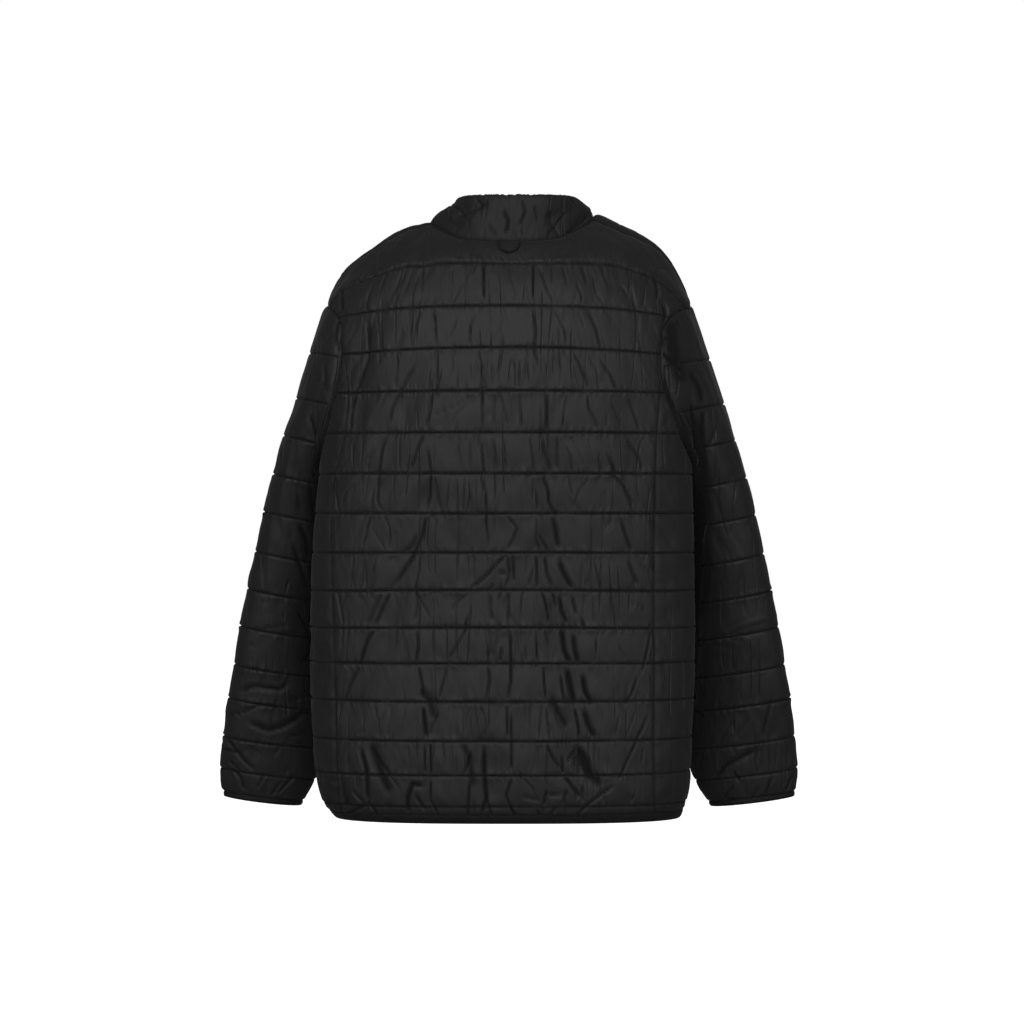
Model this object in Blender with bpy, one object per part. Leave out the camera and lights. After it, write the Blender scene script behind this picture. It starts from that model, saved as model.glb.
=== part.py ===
"""A black quilted liner jacket with a stand collar, hollow, as it hangs on a general figure.

Metres, +Z up. The wearer faces +Y, so the back is towards -Y and the wearer's left is -X.
The origin is the middle of the neck, level with the back neck seam.

Every panel is a wall between a plain inner surface and an outer one that is raised between
the stitch lines. A row coordinate runs down the cloth: 0 is the shoulder and neck edge, 1 to
15 are the stitch lines and 16 is the hem edge.
"""

import math

import bmesh
import bpy
import numpy as np
from mathutils import Vector

# Walls
STITCHED_WALL = 0.002  # on a stitch line or in a seam
CREST_WALL = 0.0056  # between two stitch lines
PLACKET_WALL = 0.003
SEAM_GAP = 0.0003
SEAM_TOP_TAB = 0.0028  # the front's width where the side seam runs into the armhole

# How finely the cloth is divided
ROWS_IN_CHANNEL = 3
CROWN_ROWS = (0.0, 0.12, 0.30, 0.62)  # above the first stitch line
BACK_HALF_COLUMNS = 10
NECK_COLUMNS = 4  # of the half back, from the middle to the neck point
SIDE_COLUMNS = 4  # of a front, from the side seam to the line under the arm
FRONT_NECK_COLUMNS = 5  # of a front, from the neck point to the middle
SECTION_STEPS = 240

# Front closing
LAP = 0.018  # how far each front passes the middle
LAP_STEP = 0.0072  # how far the under front lies behind the upper one
LAP_RAMP = 0.075  # the length over which the under front steps back
PLACKET_WIDTH = 0.034
STUD_RADIUS = 0.0062
STUD_HEIGHT = 0.0024
COLLAR_STUD_LEVEL = -0.016
STUD_LEVELS = (-0.100, -0.206, -0.306, -0.400, -0.489, -0.580)

# Bindings, tape and loop
HEM_CLOTH_LEVEL = -0.692
HEM_BINDING_HEIGHT = 0.0104
CUFF_BINDING_HEIGHT = 0.0068
BINDING_WALL = 0.0044
BINDING_INSIDE = 0.0012  # how much of it lies inside the cloth's inner surface
BINDING_ROWS = 4
HEM_BINDING_COLUMNS = 72
CUFF_COLUMNS = 32
TAPE_RADIUS = 0.0017
TAPE_SHORTER = 2  # split columns left bare at each end
TAPE_LEAN = 0.0002  # how far it leans up onto the collar
TAPE_END_LEAN = 0.0006  # and further at its ends
TAPE_END_RISE = 0.0019  # how far its ends stand off
LOOP_CORD_RADIUS = 0.0015
LOOP_HALF_WIDTH = 0.0125
LOOP_TOP = -0.0050
LOOP_DROP = 0.0080
COLLAR_ROWS = 5
COLLAR_SPLIT = 4  # columns of the collar in one column of the neckline
COLLAR_EDGE_WALL = 0.0026
COLLAR_CREST_WALL = 0.0054

# Level of each stitch line at the middle of the back, how much lower it is at the back's side
# edge, how late it starts to fall, and its level at the middle of the front.
STITCH_LINES = (
    # row, level, fall, lateness, front level
    (1, -0.029, 0.050, 6.0, -0.062),
    (2, -0.081, 0.011, 3.0, -0.104),
    (3, -0.131, 0.006, 2.0, -0.146),
    (4, -0.183, 0.001, 2.0, -0.192),
    (5, -0.233, 0.000, 2.0, -0.238),
    (6, -0.282, 0.000, 2.0, -0.284),
    (7, -0.330, 0.000, 2.0, -0.330),
    (8, -0.377, 0.001, 2.0, -0.377),
    (9, -0.422, 0.002, 2.0, -0.422),
    (10, -0.467, 0.002, 2.0, -0.467),
    (11, -0.510, 0.001, 2.0, -0.510),
    (12, -0.556, 0.000, 2.0, -0.556),
    (13, -0.603, 0.000, 2.0, -0.603),
    (14, -0.644, 0.000, 2.0, -0.644),
    (15, -0.681, 0.000, 2.0, -0.681),
    (16, HEM_CLOTH_LEVEL, 0.000, 2.0, HEM_CLOTH_LEVEL),
)
SEAM_TOP_ROW = 3  # the side seam meets the armhole here
UNDERARM_ROW = 6

# Level sections of the inner surface: rounded oblongs that are flatter behind than in front.
BODY_SECTIONS = (
    # level, half width, sway, back, front, widest at, squareness behind, in front
    (-0.020, 0.1975, 0.0000, -0.087, 0.070, -0.008, 2.3, 2.4),
    (-0.034, 0.2030, 0.0000, -0.095, 0.076, -0.009, 2.3, 2.4),
    (-0.059, 0.2175, 0.0000, -0.106, 0.085, -0.010, 2.3, 2.5),
    (-0.071, 0.2225, 0.0000, -0.110, 0.089, -0.010, 2.3, 2.5),
    (-0.100, 0.2245, 0.0000, -0.117, 0.096, -0.018, 2.3, 2.5),
    (-0.150, 0.2245, -0.0010, -0.122, 0.101, -0.025, 2.3, 2.5),
    (-0.200, 0.2240, -0.0020, -0.124, 0.103, -0.030, 2.3, 2.4),
    (-0.250, 0.2245, -0.0040, -0.124, 0.103, -0.030, 2.4, 2.2),
    (-0.290, 0.2260, -0.0050, -0.122, 0.102, -0.030, 2.5, 2.0),
    (-0.330, 0.2285, -0.0060, -0.120, 0.101, -0.030, 2.5, 2.0),
    (-0.390, 0.2315, -0.0075, -0.117, 0.100, -0.030, 2.6, 2.0),
    (-0.450, 0.2320, -0.0075, -0.117, 0.102, -0.030, 2.6, 2.0),
    (-0.510, 0.2315, -0.0075, -0.119, 0.105, -0.030, 2.6, 2.0),
    (-0.560, 0.2305, -0.0075, -0.121, 0.107, -0.030, 2.7, 2.0),
    (-0.610, 0.2280, -0.0075, -0.123, 0.108, -0.030, 2.8, 2.1),
    (-0.660, 0.2245, -0.0065, -0.1235, 0.108, -0.030, 2.8, 2.1),
    (-0.685, 0.2190, -0.0050, -0.121, 0.106, -0.030, 2.8, 2.1),
    (-0.705, 0.2095, -0.0010, -0.114, 0.100, -0.030, 2.8, 2.1),
)

# Side seams, which show on the back: how far out they lie at each level.
SIDE_SEAMS = (
    # level, left, right
    (-0.131, 0.1975, 0.1835),
    (-0.160, 0.1930, 0.1830),
    (-0.183, 0.1900, 0.1815),
    (-0.233, 0.1930, 0.1800),
    (-0.300, 0.2050, 0.1790),
    (-0.420, 0.2030, 0.1800),
    (-0.560, 0.1990, 0.1800),
    (-0.705, 0.1960, 0.1790),
)

# Armholes: how far forward the edge lies at each level, down the back and up the front.
ARMHOLE_BACK = (
    # level, left, right
    (-0.071, -0.010, -0.010),
    (-0.079, -0.044, -0.050),
    (-0.098, -0.067, -0.078),
    (-0.125, -0.0735, -0.0855),
    (-0.165, -0.075, -0.089),
    (-0.205, -0.0685, -0.081),
    (-0.245, -0.0535, -0.0665),
    (-0.268, -0.034, -0.042),
    (-0.282, -0.005, -0.005),
)
ARMHOLE_FRONT = (
    # level, left, right
    (-0.071, -0.010, -0.010),
    (-0.079, 0.015, 0.015),
    (-0.098, 0.037, 0.037),
    (-0.125, 0.050, 0.050),
    (-0.165, 0.055, 0.055),
    (-0.205, 0.051, 0.051),
    (-0.245, 0.038, 0.038),
    (-0.268, 0.020, 0.020),
    (-0.282, -0.005, -0.005),
)

# The edge along the top of the back: the neckline to the neck point, then the shoulder seam.
BACK_TOP = (
    # out, forward, level
    (0.0000, -0.0700, 0.0000),
    (0.0300, -0.0675, 0.0012),
    (0.0577, -0.0560, 0.0054),
    (0.0800, -0.0360, 0.0175),
    (0.0965, -0.0120, 0.0310),
)
SHOULDER_SEAM = (
    # out, forward, level
    (0.0965, -0.0120, 0.0310),
    (0.1250, -0.0215, 0.0190),
    (0.1550, -0.0235, 0.0075),
    (0.1780, -0.0190, -0.0060),
    (0.1955, -0.0130, -0.0220),
    (0.2110, -0.0105, -0.0450),
    (0.2225, -0.0100, -0.0710),
)
SHOULDER_RISE = {"left": 0.6, "right": 1.05}  # how steeply the front rises past that seam
NECK_RISE = {"left": 0.2, "right": 0.45}  # and past the neck point
FRONT_NECKLINE = (
    # out, forward, level
    (0.0965, -0.0120, 0.0310),
    (0.0955, 0.0150, 0.0200),
    (0.0830, 0.0380, 0.0020),
    (0.0580, 0.0540, -0.0200),
    (0.0280, 0.0620, -0.0380),
    (0.0000, 0.0640, -0.0450),
)
COLLAR_TOP = (
    # share of the way from the middle of the back to the middle of the front, out, forward, level
    (0.00, 0.0000, -0.0620, 0.0610),
    (0.16, 0.0380, -0.0560, 0.0615),
    (0.30, 0.0640, -0.0330, 0.0625),
    (0.44, 0.0730, 0.0000, 0.0600),
    (0.62, 0.0650, 0.0320, 0.0460),
    (0.82, 0.0340, 0.0540, 0.0250),
    (1.00, 0.0000, 0.0600, 0.0150),
)
COLLAR_SWAY = 0.0095  # the collar's top edge leans to the wearer's right

# Sleeves: outer edge, then the oval section there.
SLEEVE_OUTER = (
    # level, out
    (-0.071, 0.2225),
    (-0.117, 0.2420),
    (-0.181, 0.2649),
    (-0.244, 0.2850),
    (-0.308, 0.3026),
    (-0.371, 0.3173),
    (-0.435, 0.3307),
    (-0.499, 0.3440),
    (-0.563, 0.3555),
    (-0.628, 0.3630),
    (-0.666, 0.3645),
    (-0.692, 0.3595),
)
SLEEVE_SECTIONS = (
    # level, long half, short half, turn in degrees, forward, slope of the ring
    (-0.300, 0.0705, 0.0385, 68.0, 0.036, 0.20),
    (-0.328, 0.0700, 0.0380, 66.0, 0.040, 0.20),
    (-0.378, 0.0690, 0.0380, 60.0, 0.046, 0.20),
    (-0.425, 0.0675, 0.0375, 53.0, 0.052, 0.20),
    (-0.499, 0.0650, 0.0370, 42.0, 0.060, 0.19),
    (-0.563, 0.0630, 0.0360, 30.0, 0.066, 0.17),
    (-0.628, 0.0600, 0.0330, 17.0, 0.070, 0.15),
    (-0.660, 0.0550, 0.0300, 12.0, 0.071, 0.14),
    (-0.692, 0.0445, 0.0240, 10.0, 0.072, 0.14),
)
SLEEVE_LINES = (-0.131, -0.1865, -0.233, -0.281, -0.328, -0.378, -0.425, -0.472, -0.5205)
SLEEVE_LINES += (-0.563, -0.612, -0.653, -0.683)
FREE_LINE = 5  # the first sleeve line that runs all the way round below the armhole
RIM_BLEND = 0.014  # how far the direction of the armhole's rim carries into the sleeve
SLEEVE_FORWARD = {"left": 0.010, "right": 0.002}  # beyond the table, to clear the side
SLEEVE_FULLNESS = {"left": 1.0, "right": 1.09}  # of the lower sleeve
LEAST_SPREAD = 0.25  # how closely the lines above it may crowd where the armhole cuts them
SLEEVE_LEAD = {"left": 0.0, "right": 0.009}  # how much lower a sleeve's first lines are

# The largest folds of the back: troughs between two points, out and level at each end.
BACK_FOLDS = (
    # out, level, to out, to level, half width, depth
    (-0.093, -0.290, -0.150, -0.480, 0.020, 0.0042),
    (-0.150, -0.480, -0.200, -0.575, 0.020, 0.0036),
    (-0.106, -0.150, -0.158, -0.300, 0.018, 0.0030),
    (-0.168, -0.095, -0.186, -0.225, 0.018, 0.0036),
    (0.048, -0.235, 0.066, -0.470, 0.026, 0.0044),
    (0.066, -0.470, 0.092, -0.640, 0.026, 0.0050),
    (0.140, -0.195, 0.158, -0.280, 0.018, 0.0028),
    (-0.028, -0.600, -0.026, -0.690, 0.020, 0.0032),
)
COLLAR_FOLDS = (
    # out, level, to out, to level, half width, depth
    (-0.066, 0.034, -0.027, 0.050, 0.0075, 0.0026),
    (-0.078, 0.040, -0.058, 0.020, 0.0075, 0.0026),
    (0.092, 0.045, 0.074, 0.014, 0.0080, 0.0030),
    (0.046, 0.036, 0.058, 0.012, 0.0070, 0.0022),
    (-0.010, 0.052, -0.006, 0.014, 0.0070, 0.0016),
)
NECK_POINT_LIFT = np.array([0.0, 0.0, 0.5])  # where the shoulder seam meets the neckline

JACKET = bpy.data.collections.new("quilted_liner_jacket")


# Curves and surfaces


def through(keys, at):
    """The columns of keys, whose first column runs one way, smoothly read at the given places."""
    table = np.array(keys, float)
    if table[0, 0] > table[-1, 0]:
        table = table[::-1]
    places, values = table[:, 0], table[:, 1:]
    steps = np.diff(values, axis=0) / np.diff(places)[:, None]
    slopes = np.vstack([steps[:1], (steps[1:] + steps[:-1]) / 2, steps[-1:]])
    at = np.clip(np.asarray(at, float), places[0], places[-1])
    k = np.clip(np.searchsorted(places, at, side="right") - 1, 0, len(places) - 2)
    span = (places[k + 1] - places[k])[..., None]
    f = ((at - places[k]) / (places[k + 1] - places[k]))[..., None]
    return (
        (1 + 2 * f) * (1 - f) ** 2 * values[k]
        + f * (1 - f) ** 2 * span * slopes[k]
        + f**2 * (3 - 2 * f) * values[k + 1]
        + f**2 * (f - 1) * span * slopes[k + 1]
    )


def along(points, shares):
    """Places on a smooth curve through the points, at shares of its length."""
    points = np.array(points, float)
    chord = np.append(0, np.cumsum(np.linalg.norm(np.diff(points, axis=0), axis=1)))
    dense = through(np.column_stack([chord / chord[-1], points]), np.linspace(0, 1, 400))
    length = np.append(0, np.cumsum(np.linalg.norm(np.diff(dense, axis=0), axis=1)))
    return np.stack([np.interp(np.asarray(shares) * length[-1], length, c) for c in dense.T], -1)


def unit(vectors):
    return vectors / np.maximum(np.linalg.norm(vectors, axis=-1, keepdims=True), 1e-12)


def smooth_step(value):
    value = np.clip(value, 0, 1)
    return value * value * (3 - 2 * value)


class Body:
    """The inner surface as level sections. A place on it is a level and a share of the half
    girth, from 0 at the middle of the back to 1 at the middle of the front and on past it."""

    def __init__(self):
        self.levels = np.linspace(-0.020, -0.705, 138)
        turn = np.linspace(0, math.pi, 1200)
        self.shares = np.linspace(0, 1, SECTION_STEPS + 1)
        self.out, self.forward, self.girth = [], [], []
        self.sway = through([(r[0], r[2]) for r in BODY_SECTIONS], self.levels)[:, 0]
        columns = through(BODY_SECTIONS, self.levels)
        for half_width, _, back, front, widest, square_back, square_front in columns:
            behind = np.cos(turn) > 0
            power = 2 / np.where(behind, square_back, square_front)
            reach = np.where(behind, widest - back, front - widest)
            out = half_width * np.abs(np.sin(turn)) ** power
            forward = widest - np.sign(np.cos(turn)) * reach * np.abs(np.cos(turn)) ** power
            run = np.append(0, np.cumsum(np.hypot(np.diff(out), np.diff(forward))))
            self.out.append(np.interp(self.shares, run / run[-1], out))
            self.forward.append(np.interp(self.shares, run / run[-1], forward))
            self.girth.append(run[-1])
        self.out, self.forward = np.array(self.out), np.array(self.forward)
        self.girth = np.array(self.girth)

    def read(self, grid, level, share):
        row = np.clip((self.levels[0] - level) / (self.levels[0] - self.levels[-1]), 0, 1)
        row = row * (len(self.levels) - 1)
        column = np.clip(share, 0, 1) * SECTION_STEPS
        r, c = np.minimum(row.astype(int), len(self.levels) - 2), column.astype(int)
        c = np.minimum(c, SECTION_STEPS - 1)
        fr, fc = row - r, column - c
        return (
            grid[r, c] * (1 - fr) * (1 - fc)
            + grid[r + 1, c] * fr * (1 - fc)
            + grid[r, c + 1] * (1 - fr) * fc
            + grid[r + 1, c + 1] * fr * fc
        )

    def point(self, level, share, side):
        level, share = np.broadcast_arrays(np.asarray(level, float), np.asarray(share, float))
        past = np.where(share > 1, -1.0, 1.0) * np.where(share < 0, -1.0, 1.0)
        near = np.where(share > 1, 2 - share, np.abs(share))
        out = self.read(self.out, level, near)
        forward = self.read(self.forward, level, near)
        sway = np.interp(-level, -self.levels, self.sway)
        return np.stack([side * past * out + sway, forward, level], -1)

    def half_girth(self, level):
        return np.interp(-np.asarray(level, float), -self.levels, self.girth)

    def outward(self, level, share, side, step=0.004):
        """The unit normal that points out of the cloth."""
        level, share = np.broadcast_arrays(np.asarray(level, float), np.asarray(share, float))
        ds = step / self.half_girth(level)
        round_ = self.point(level, share + ds, side) - self.point(level, share - ds, side)
        up = self.point(level + step, share, side) - self.point(level - step, share, side)
        return unit(np.cross(round_, up)) * side

    def share_at_forward(self, level, forward):
        """The share at which the section lies that far forward."""
        found = []
        for one_level, one in zip(np.atleast_1d(level), np.atleast_1d(forward)):
            row = self.read(self.forward, np.full(len(self.shares), one_level), self.shares)
            found.append(np.interp(one, row, self.shares))
        return np.array(found)

    def share_at_out(self, level, out):
        """The share, on the back, at which the section lies that far out."""
        found = []
        for one_level, one in zip(np.atleast_1d(level), np.atleast_1d(out)):
            row = self.read(self.out, np.full(len(self.shares), one_level), self.shares)
            top = int(np.argmax(row))
            found.append(np.interp(one, row[: top + 1], self.shares[: top + 1]))
        return np.array(found)


BODY = Body()
COLUMN_OF = {"left": 0, "right": 1}
SIDE_OF = {"left": -1.0, "right": 1.0}


def row_coordinates(first, last):
    """Rows from first to last, each channel divided evenly; the hem strip is one row deep."""
    rows = [float(first)]
    for line in range(first, last):
        parts = 1 if line == 15 else ROWS_IN_CHANNEL
        rows += [line + (k + 1) / parts for k in range(parts)]
    return np.array(rows)


def stitch_line(rows):
    """Level, fall, lateness and front level at each row coordinate of 1 or more."""
    return np.array([np.interp(rows, [r[0] for r in STITCH_LINES], [r[k] for r in STITCH_LINES])
                     for k in (1, 2, 3, 4)])


def puff(rows):
    """0 on a stitch line and near 1 between two."""
    return np.abs(np.sin(np.pi * (rows % 1.0))) ** 0.6


def edge_level(rows):
    level, fall, _, _ = stitch_line(rows)
    return level - fall


def armhole_share(level, branch, side_name):
    keys = [(row[0], row[1 + COLUMN_OF[side_name]]) for row in branch]
    return BODY.share_at_forward(level, through(keys, level)[:, 0])


def side_seam_share(level, side_name):
    """Where the side seam lies. It runs into the armhole at its top, so it stays behind it."""
    keys = [(row[0], row[1 + COLUMN_OF[side_name]]) for row in SIDE_SEAMS]
    seam = BODY.share_at_out(level, through(keys, level)[:, 0])
    underarm = ARMHOLE_BACK[-1][0]
    hole = armhole_share(np.maximum(level, underarm), ARMHOLE_BACK, side_name)
    return np.minimum(seam, hole - SEAM_TOP_TAB / BODY.half_girth(level))


def back_edge_share(rows, side_name):
    """Where the back panel ends: on the side seam, or on the armhole above it."""
    level = edge_level(rows)
    seam = side_seam_share(level, side_name)
    hole = armhole_share(level, ARMHOLE_BACK, side_name)
    return np.where(rows >= SEAM_TOP_ROW, seam, hole)


def fold_depth(points, folds):
    """How deep the largest folds push the cloth in."""
    depth = np.zeros(points.shape[:-1])
    flat = points[..., [0, 2]]
    for x0, z0, x1, z1, half_width, deep in folds:
        start, run = np.array([x0, z0]), np.array([x1 - x0, z1 - z0])
        share = ((flat - start) @ run) / (run @ run)
        nearest = start + np.clip(share, 0, 1)[..., None] * run
        away = np.linalg.norm(flat - nearest, axis=-1) / half_width
        ends = smooth_step((share + 0.15) / 0.3) * smooth_step((1.15 - share) / 0.3)
        depth += deep * ends * np.exp(-(away**2) * 1.5)
    return depth


# Building walls


def mirrored(keys, side):
    points = np.array(keys, float)
    points[:, 0] *= side
    return points


def grid_normals(points, flip):
    down = np.gradient(points, axis=0)
    across = np.gradient(points, axis=1)
    return unit(np.cross(across, down)) * flip


def new_object(name, mesh, colour, roughness=0.5):
    piece = bpy.data.objects.new(name, mesh)
    material = bpy.data.materials.new(name)
    material.use_nodes = True
    shader = material.node_tree.nodes["Principled BSDF"]
    shader.inputs["Base Color"].default_value = (*colour, 1)
    shader.inputs["Roughness"].default_value = roughness
    shader.inputs["Metallic"].default_value = 0.0
    material.diffuse_color = (*colour, 1)
    mesh.materials.append(material)
    JACKET.objects.link(piece)
    return piece


def make_wall(name, inside, outer, ids, used, bands, colour, edge_points=None):
    """A closed wall between two grids of points.

    ids numbers the grid's vertices, so that columns which share a number are joined. used says
    which cells are cloth. The outer face has every row; the inner one has only the rows that
    bands names, so it stays plain. edge_points, if given, are extra vertices on the first row,
    one inside and one outside for each cell.
    """
    count = int(ids.max()) + 1
    extra = 0 if edge_points is None else len(edge_points[0])
    total = count + extra
    vertices = np.zeros((2 * total, 3))
    vertices[ids] = outer
    vertices[ids + total] = inside
    if extra:
        vertices[count:total] = edge_points[1]
        vertices[total + count :] = edge_points[0]
    faces, uses = [], {}

    def add_outer(face):
        faces.append(face)
        for a, b in zip(face, face[1:] + face[:1]):
            uses[(a, b)] = uses.get((a, b), 0) + 1

    rows, columns = ids.shape
    for r in range(rows - 1):
        for c in range(columns - 1):
            if not used[r, c]:
                continue
            top = [int(ids[r, c]), int(ids[r, c + 1])]
            if r == 0 and extra:
                top.insert(1, count + c)
            add_outer(top + [int(ids[r + 1, c + 1]), int(ids[r + 1, c])])

    def rim(a, b):
        return (a, b) in uses and (b, a) not in uses

    for r0, r1 in zip(bands, bands[1:]):
        for c in range(columns - 1):
            if not used[r0, c]:
                continue
            top = [int(ids[r0, c]), int(ids[r0, c + 1])]
            if r0 == 0 and extra:
                top.insert(1, count + c)
            right = [int(ids[r, c + 1]) for r in range(r0 + 1, r1)]
            left = [int(ids[r, c]) for r in range(r1 - 1, r0, -1)]
            if right and not rim(int(ids[r0, c + 1]), right[0]):
                right = []
            if left and not rim(left[-1], int(ids[r0, c])):
                left = []
            bottom = [int(ids[r1, c + 1]), int(ids[r1, c])]
            face = top + right + bottom + left
            faces.append([v + total for v in reversed(face)])
    for a, b in list(uses):
        if (b, a) not in uses:
            faces.append([b, a, a + total, b + total])
    mesh = bpy.data.meshes.new(name)
    mesh.from_pydata(vertices.tolist(), [], faces)
    work = bmesh.new()
    work.from_mesh(mesh)
    loose = [v for v in work.verts if not v.link_faces]
    bmesh.ops.delete(work, geom=loose, context="VERTS")
    bmesh.ops.recalc_face_normals(work, faces=work.faces)
    work.to_mesh(mesh)
    work.free()
    mesh.shade_smooth()
    mesh.set_sharp_from_angle(angle=math.radians(50))
    return new_object(name, mesh, colour)


def plain_ids(rows, columns, closed=False):
    ids = np.arange(rows * columns).reshape(rows, columns)
    if closed:
        ids[:, -1] = ids[:, 0]
    return ids


def band_rows(rows):
    """The grid rows that lie on a stitch line or an edge."""
    return [k for k, row in enumerate(rows) if abs(row - round(row)) < 1e-6]


def top_edge(side_name):
    """The shoulder seam and neckline of one half, as points from the armhole to the middle."""
    side = SIDE_OF[side_name]
    shoulder_columns = BACK_HALF_COLUMNS - NECK_COLUMNS
    shoulder = along(mirrored(SHOULDER_SEAM, side), np.linspace(1, 0, shoulder_columns + 1))
    back_neck = along(mirrored(BACK_TOP, side), np.linspace(1, 0, NECK_COLUMNS + 1))
    front_neck = along(
        mirrored(FRONT_NECKLINE, side), np.linspace(0, 1, FRONT_NECK_COLUMNS + 1)
    )
    return shoulder, back_neck, front_neck


def lapped_end(front_neck):
    """Where a front ends, past the middle, level with the neckline of the other front."""
    corner, before = front_neck[-1], front_neck[-2]
    step = (before - corner) * np.array([-1.0, 1.0, 1.0])
    return corner + step * (LAP / abs(step[0])) + np.array([0.0, 0.0003, 0.0])


def level_out(directions):
    """The same directions with no fall, so that a lower edge is flat."""
    return unit(directions * np.array([1.0, 1.0, 0.0]))


def neck_rim_direction(points):
    """Out of the cloth along the neckline: away from the neck and up."""
    away = points * np.array([1.0, 1.0, 0.0]) - np.array([0.0, -0.004, 0.0])
    return unit(unit(away) * 0.80 + np.array([0.0, 0.0, 0.60]))


def shoulder_rim_direction(points):
    """Out of the cloth along the shoulder seam: up, and outward as the shoulder falls."""
    side = np.sign(points[:, :1])
    lean = np.clip((np.abs(points[:, :1]) - 0.08) / 0.16, 0, 1)
    back = -0.12 - 0.42 * np.clip(1.6 * (1 - lean) - 0.2, 0, 1)
    return unit(np.hstack([side * (0.25 + 0.65 * lean), back, 0.95 - 0.45 * lean]))


def crown(low, high, low_way, high_way, shares, straight):
    """Rows from a top edge (share 0) down to the first stitch line (share 1), rounded over.
    The columns named by straight are the armhole's, and run straight."""
    f = shares[:, None, None]
    length = np.linalg.norm(high - low, axis=-1, keepdims=True)
    low_way, high_way = low_way.copy(), high_way.copy()
    low_way[straight] = high_way[straight] = unit(low[straight] - high[straight])
    return (
        (1 + 2 * f) * (1 - f) ** 2 * high
        + f * (1 - f) ** 2 * high_way * length
        + f**2 * (3 - 2 * f) * low
        + f**2 * (f - 1) * low_way * length
    )


def back_panel():
    """The whole back, from the left side seam to the right one."""
    rows = row_coordinates(1, 16)
    level, fall, lateness, _ = stitch_line(rows)
    halves = []
    for name in ("left", "right"):
        side = SIDE_OF[name]
        edge = back_edge_share(rows, name) - SEAM_GAP / 2 / BODY.half_girth(level)
        share = np.linspace(1, 0, BACK_HALF_COLUMNS + 1)
        at = edge[:, None] * share
        z = level[:, None] - fall[:, None] * share ** lateness[:, None]
        points = BODY.point(z, at, side)
        normals = BODY.outward(z, at, side)
        halves.append((points, normals))
    points = np.concatenate([halves[0][0], halves[1][0][:, ::-1][:, 1:]], axis=1)
    normals = np.concatenate([halves[0][1], halves[1][1][:, ::-1][:, 1:]], axis=1)
    middle = BACK_HALF_COLUMNS
    normals[:, middle] = unit(normals[:, middle - 1] + normals[:, middle + 1])

    edges = []
    for name in ("left", "right"):
        shoulder, back_neck, _ = top_edge(name)
        edge = np.concatenate([shoulder, back_neck[1:]])
        rim = np.concatenate(
            [shoulder_rim_direction(shoulder[:-1]), neck_rim_direction(back_neck)]
        )
        edges.append((edge, rim))
    top = np.concatenate([edges[0][0], edges[1][0][::-1][1:]])
    top_rim = np.concatenate([edges[0][1], edges[1][1][::-1][1:]])
    joint = BACK_HALF_COLUMNS - NECK_COLUMNS
    for corner in (joint, -joint - 1):
        top_rim[corner] = unit(top_rim[corner] + NECK_POINT_LIFT)
    top = top - np.array([0.0, SEAM_GAP / 2, SEAM_GAP / 4])

    slope_up = unit(points[0] - points[1])
    heading = unit(np.array([0.0, 0.85, 0.55]) + 0.0 * top)
    shares = np.array(CROWN_ROWS)
    crown_points = crown(points[0], top, -slope_up, -heading, shares, [0, -1])
    grid = np.concatenate([crown_points, points])
    all_normals = np.concatenate([grid_normals(grid, -1.0)[: len(shares)], normals])
    all_normals[0] = top_rim
    all_normals[-1] = level_out(all_normals[-1])
    all_rows = np.concatenate([shares, rows])

    thick = STITCHED_WALL + (CREST_WALL - STITCHED_WALL) * puff(all_rows)[:, None]
    thick = np.repeat(thick, grid.shape[1], axis=1)
    thick[:, 0] = thick[:, -1] = STITCHED_WALL
    folded = grid.copy()
    inward = fold_depth(grid, BACK_FOLDS)
    inward *= smooth_step((grid[..., 2] - HEM_CLOTH_LEVEL) / 0.03)
    inward[:, 0] = inward[:, -1] = 0.0
    inward[0] = 0.0
    folded -= all_normals * inward[..., None]
    ids = plain_ids(*folded.shape[:2])
    used = np.ones((folded.shape[0] - 1, folded.shape[1] - 1), bool)
    outer = folded + all_normals * thick[..., None]
    return make_wall("back", folded, outer, ids, used, band_rows(all_rows), (0.030, 0.030, 0.032))


def lap_shift(distance, under):
    """How far the under front lies behind the upper one, by its distance from the middle."""
    if not under:
        return np.zeros_like(distance)
    return LAP_STEP * smooth_step(1 - (distance - 0.028) / (LAP_RAMP - 0.028))


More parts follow.
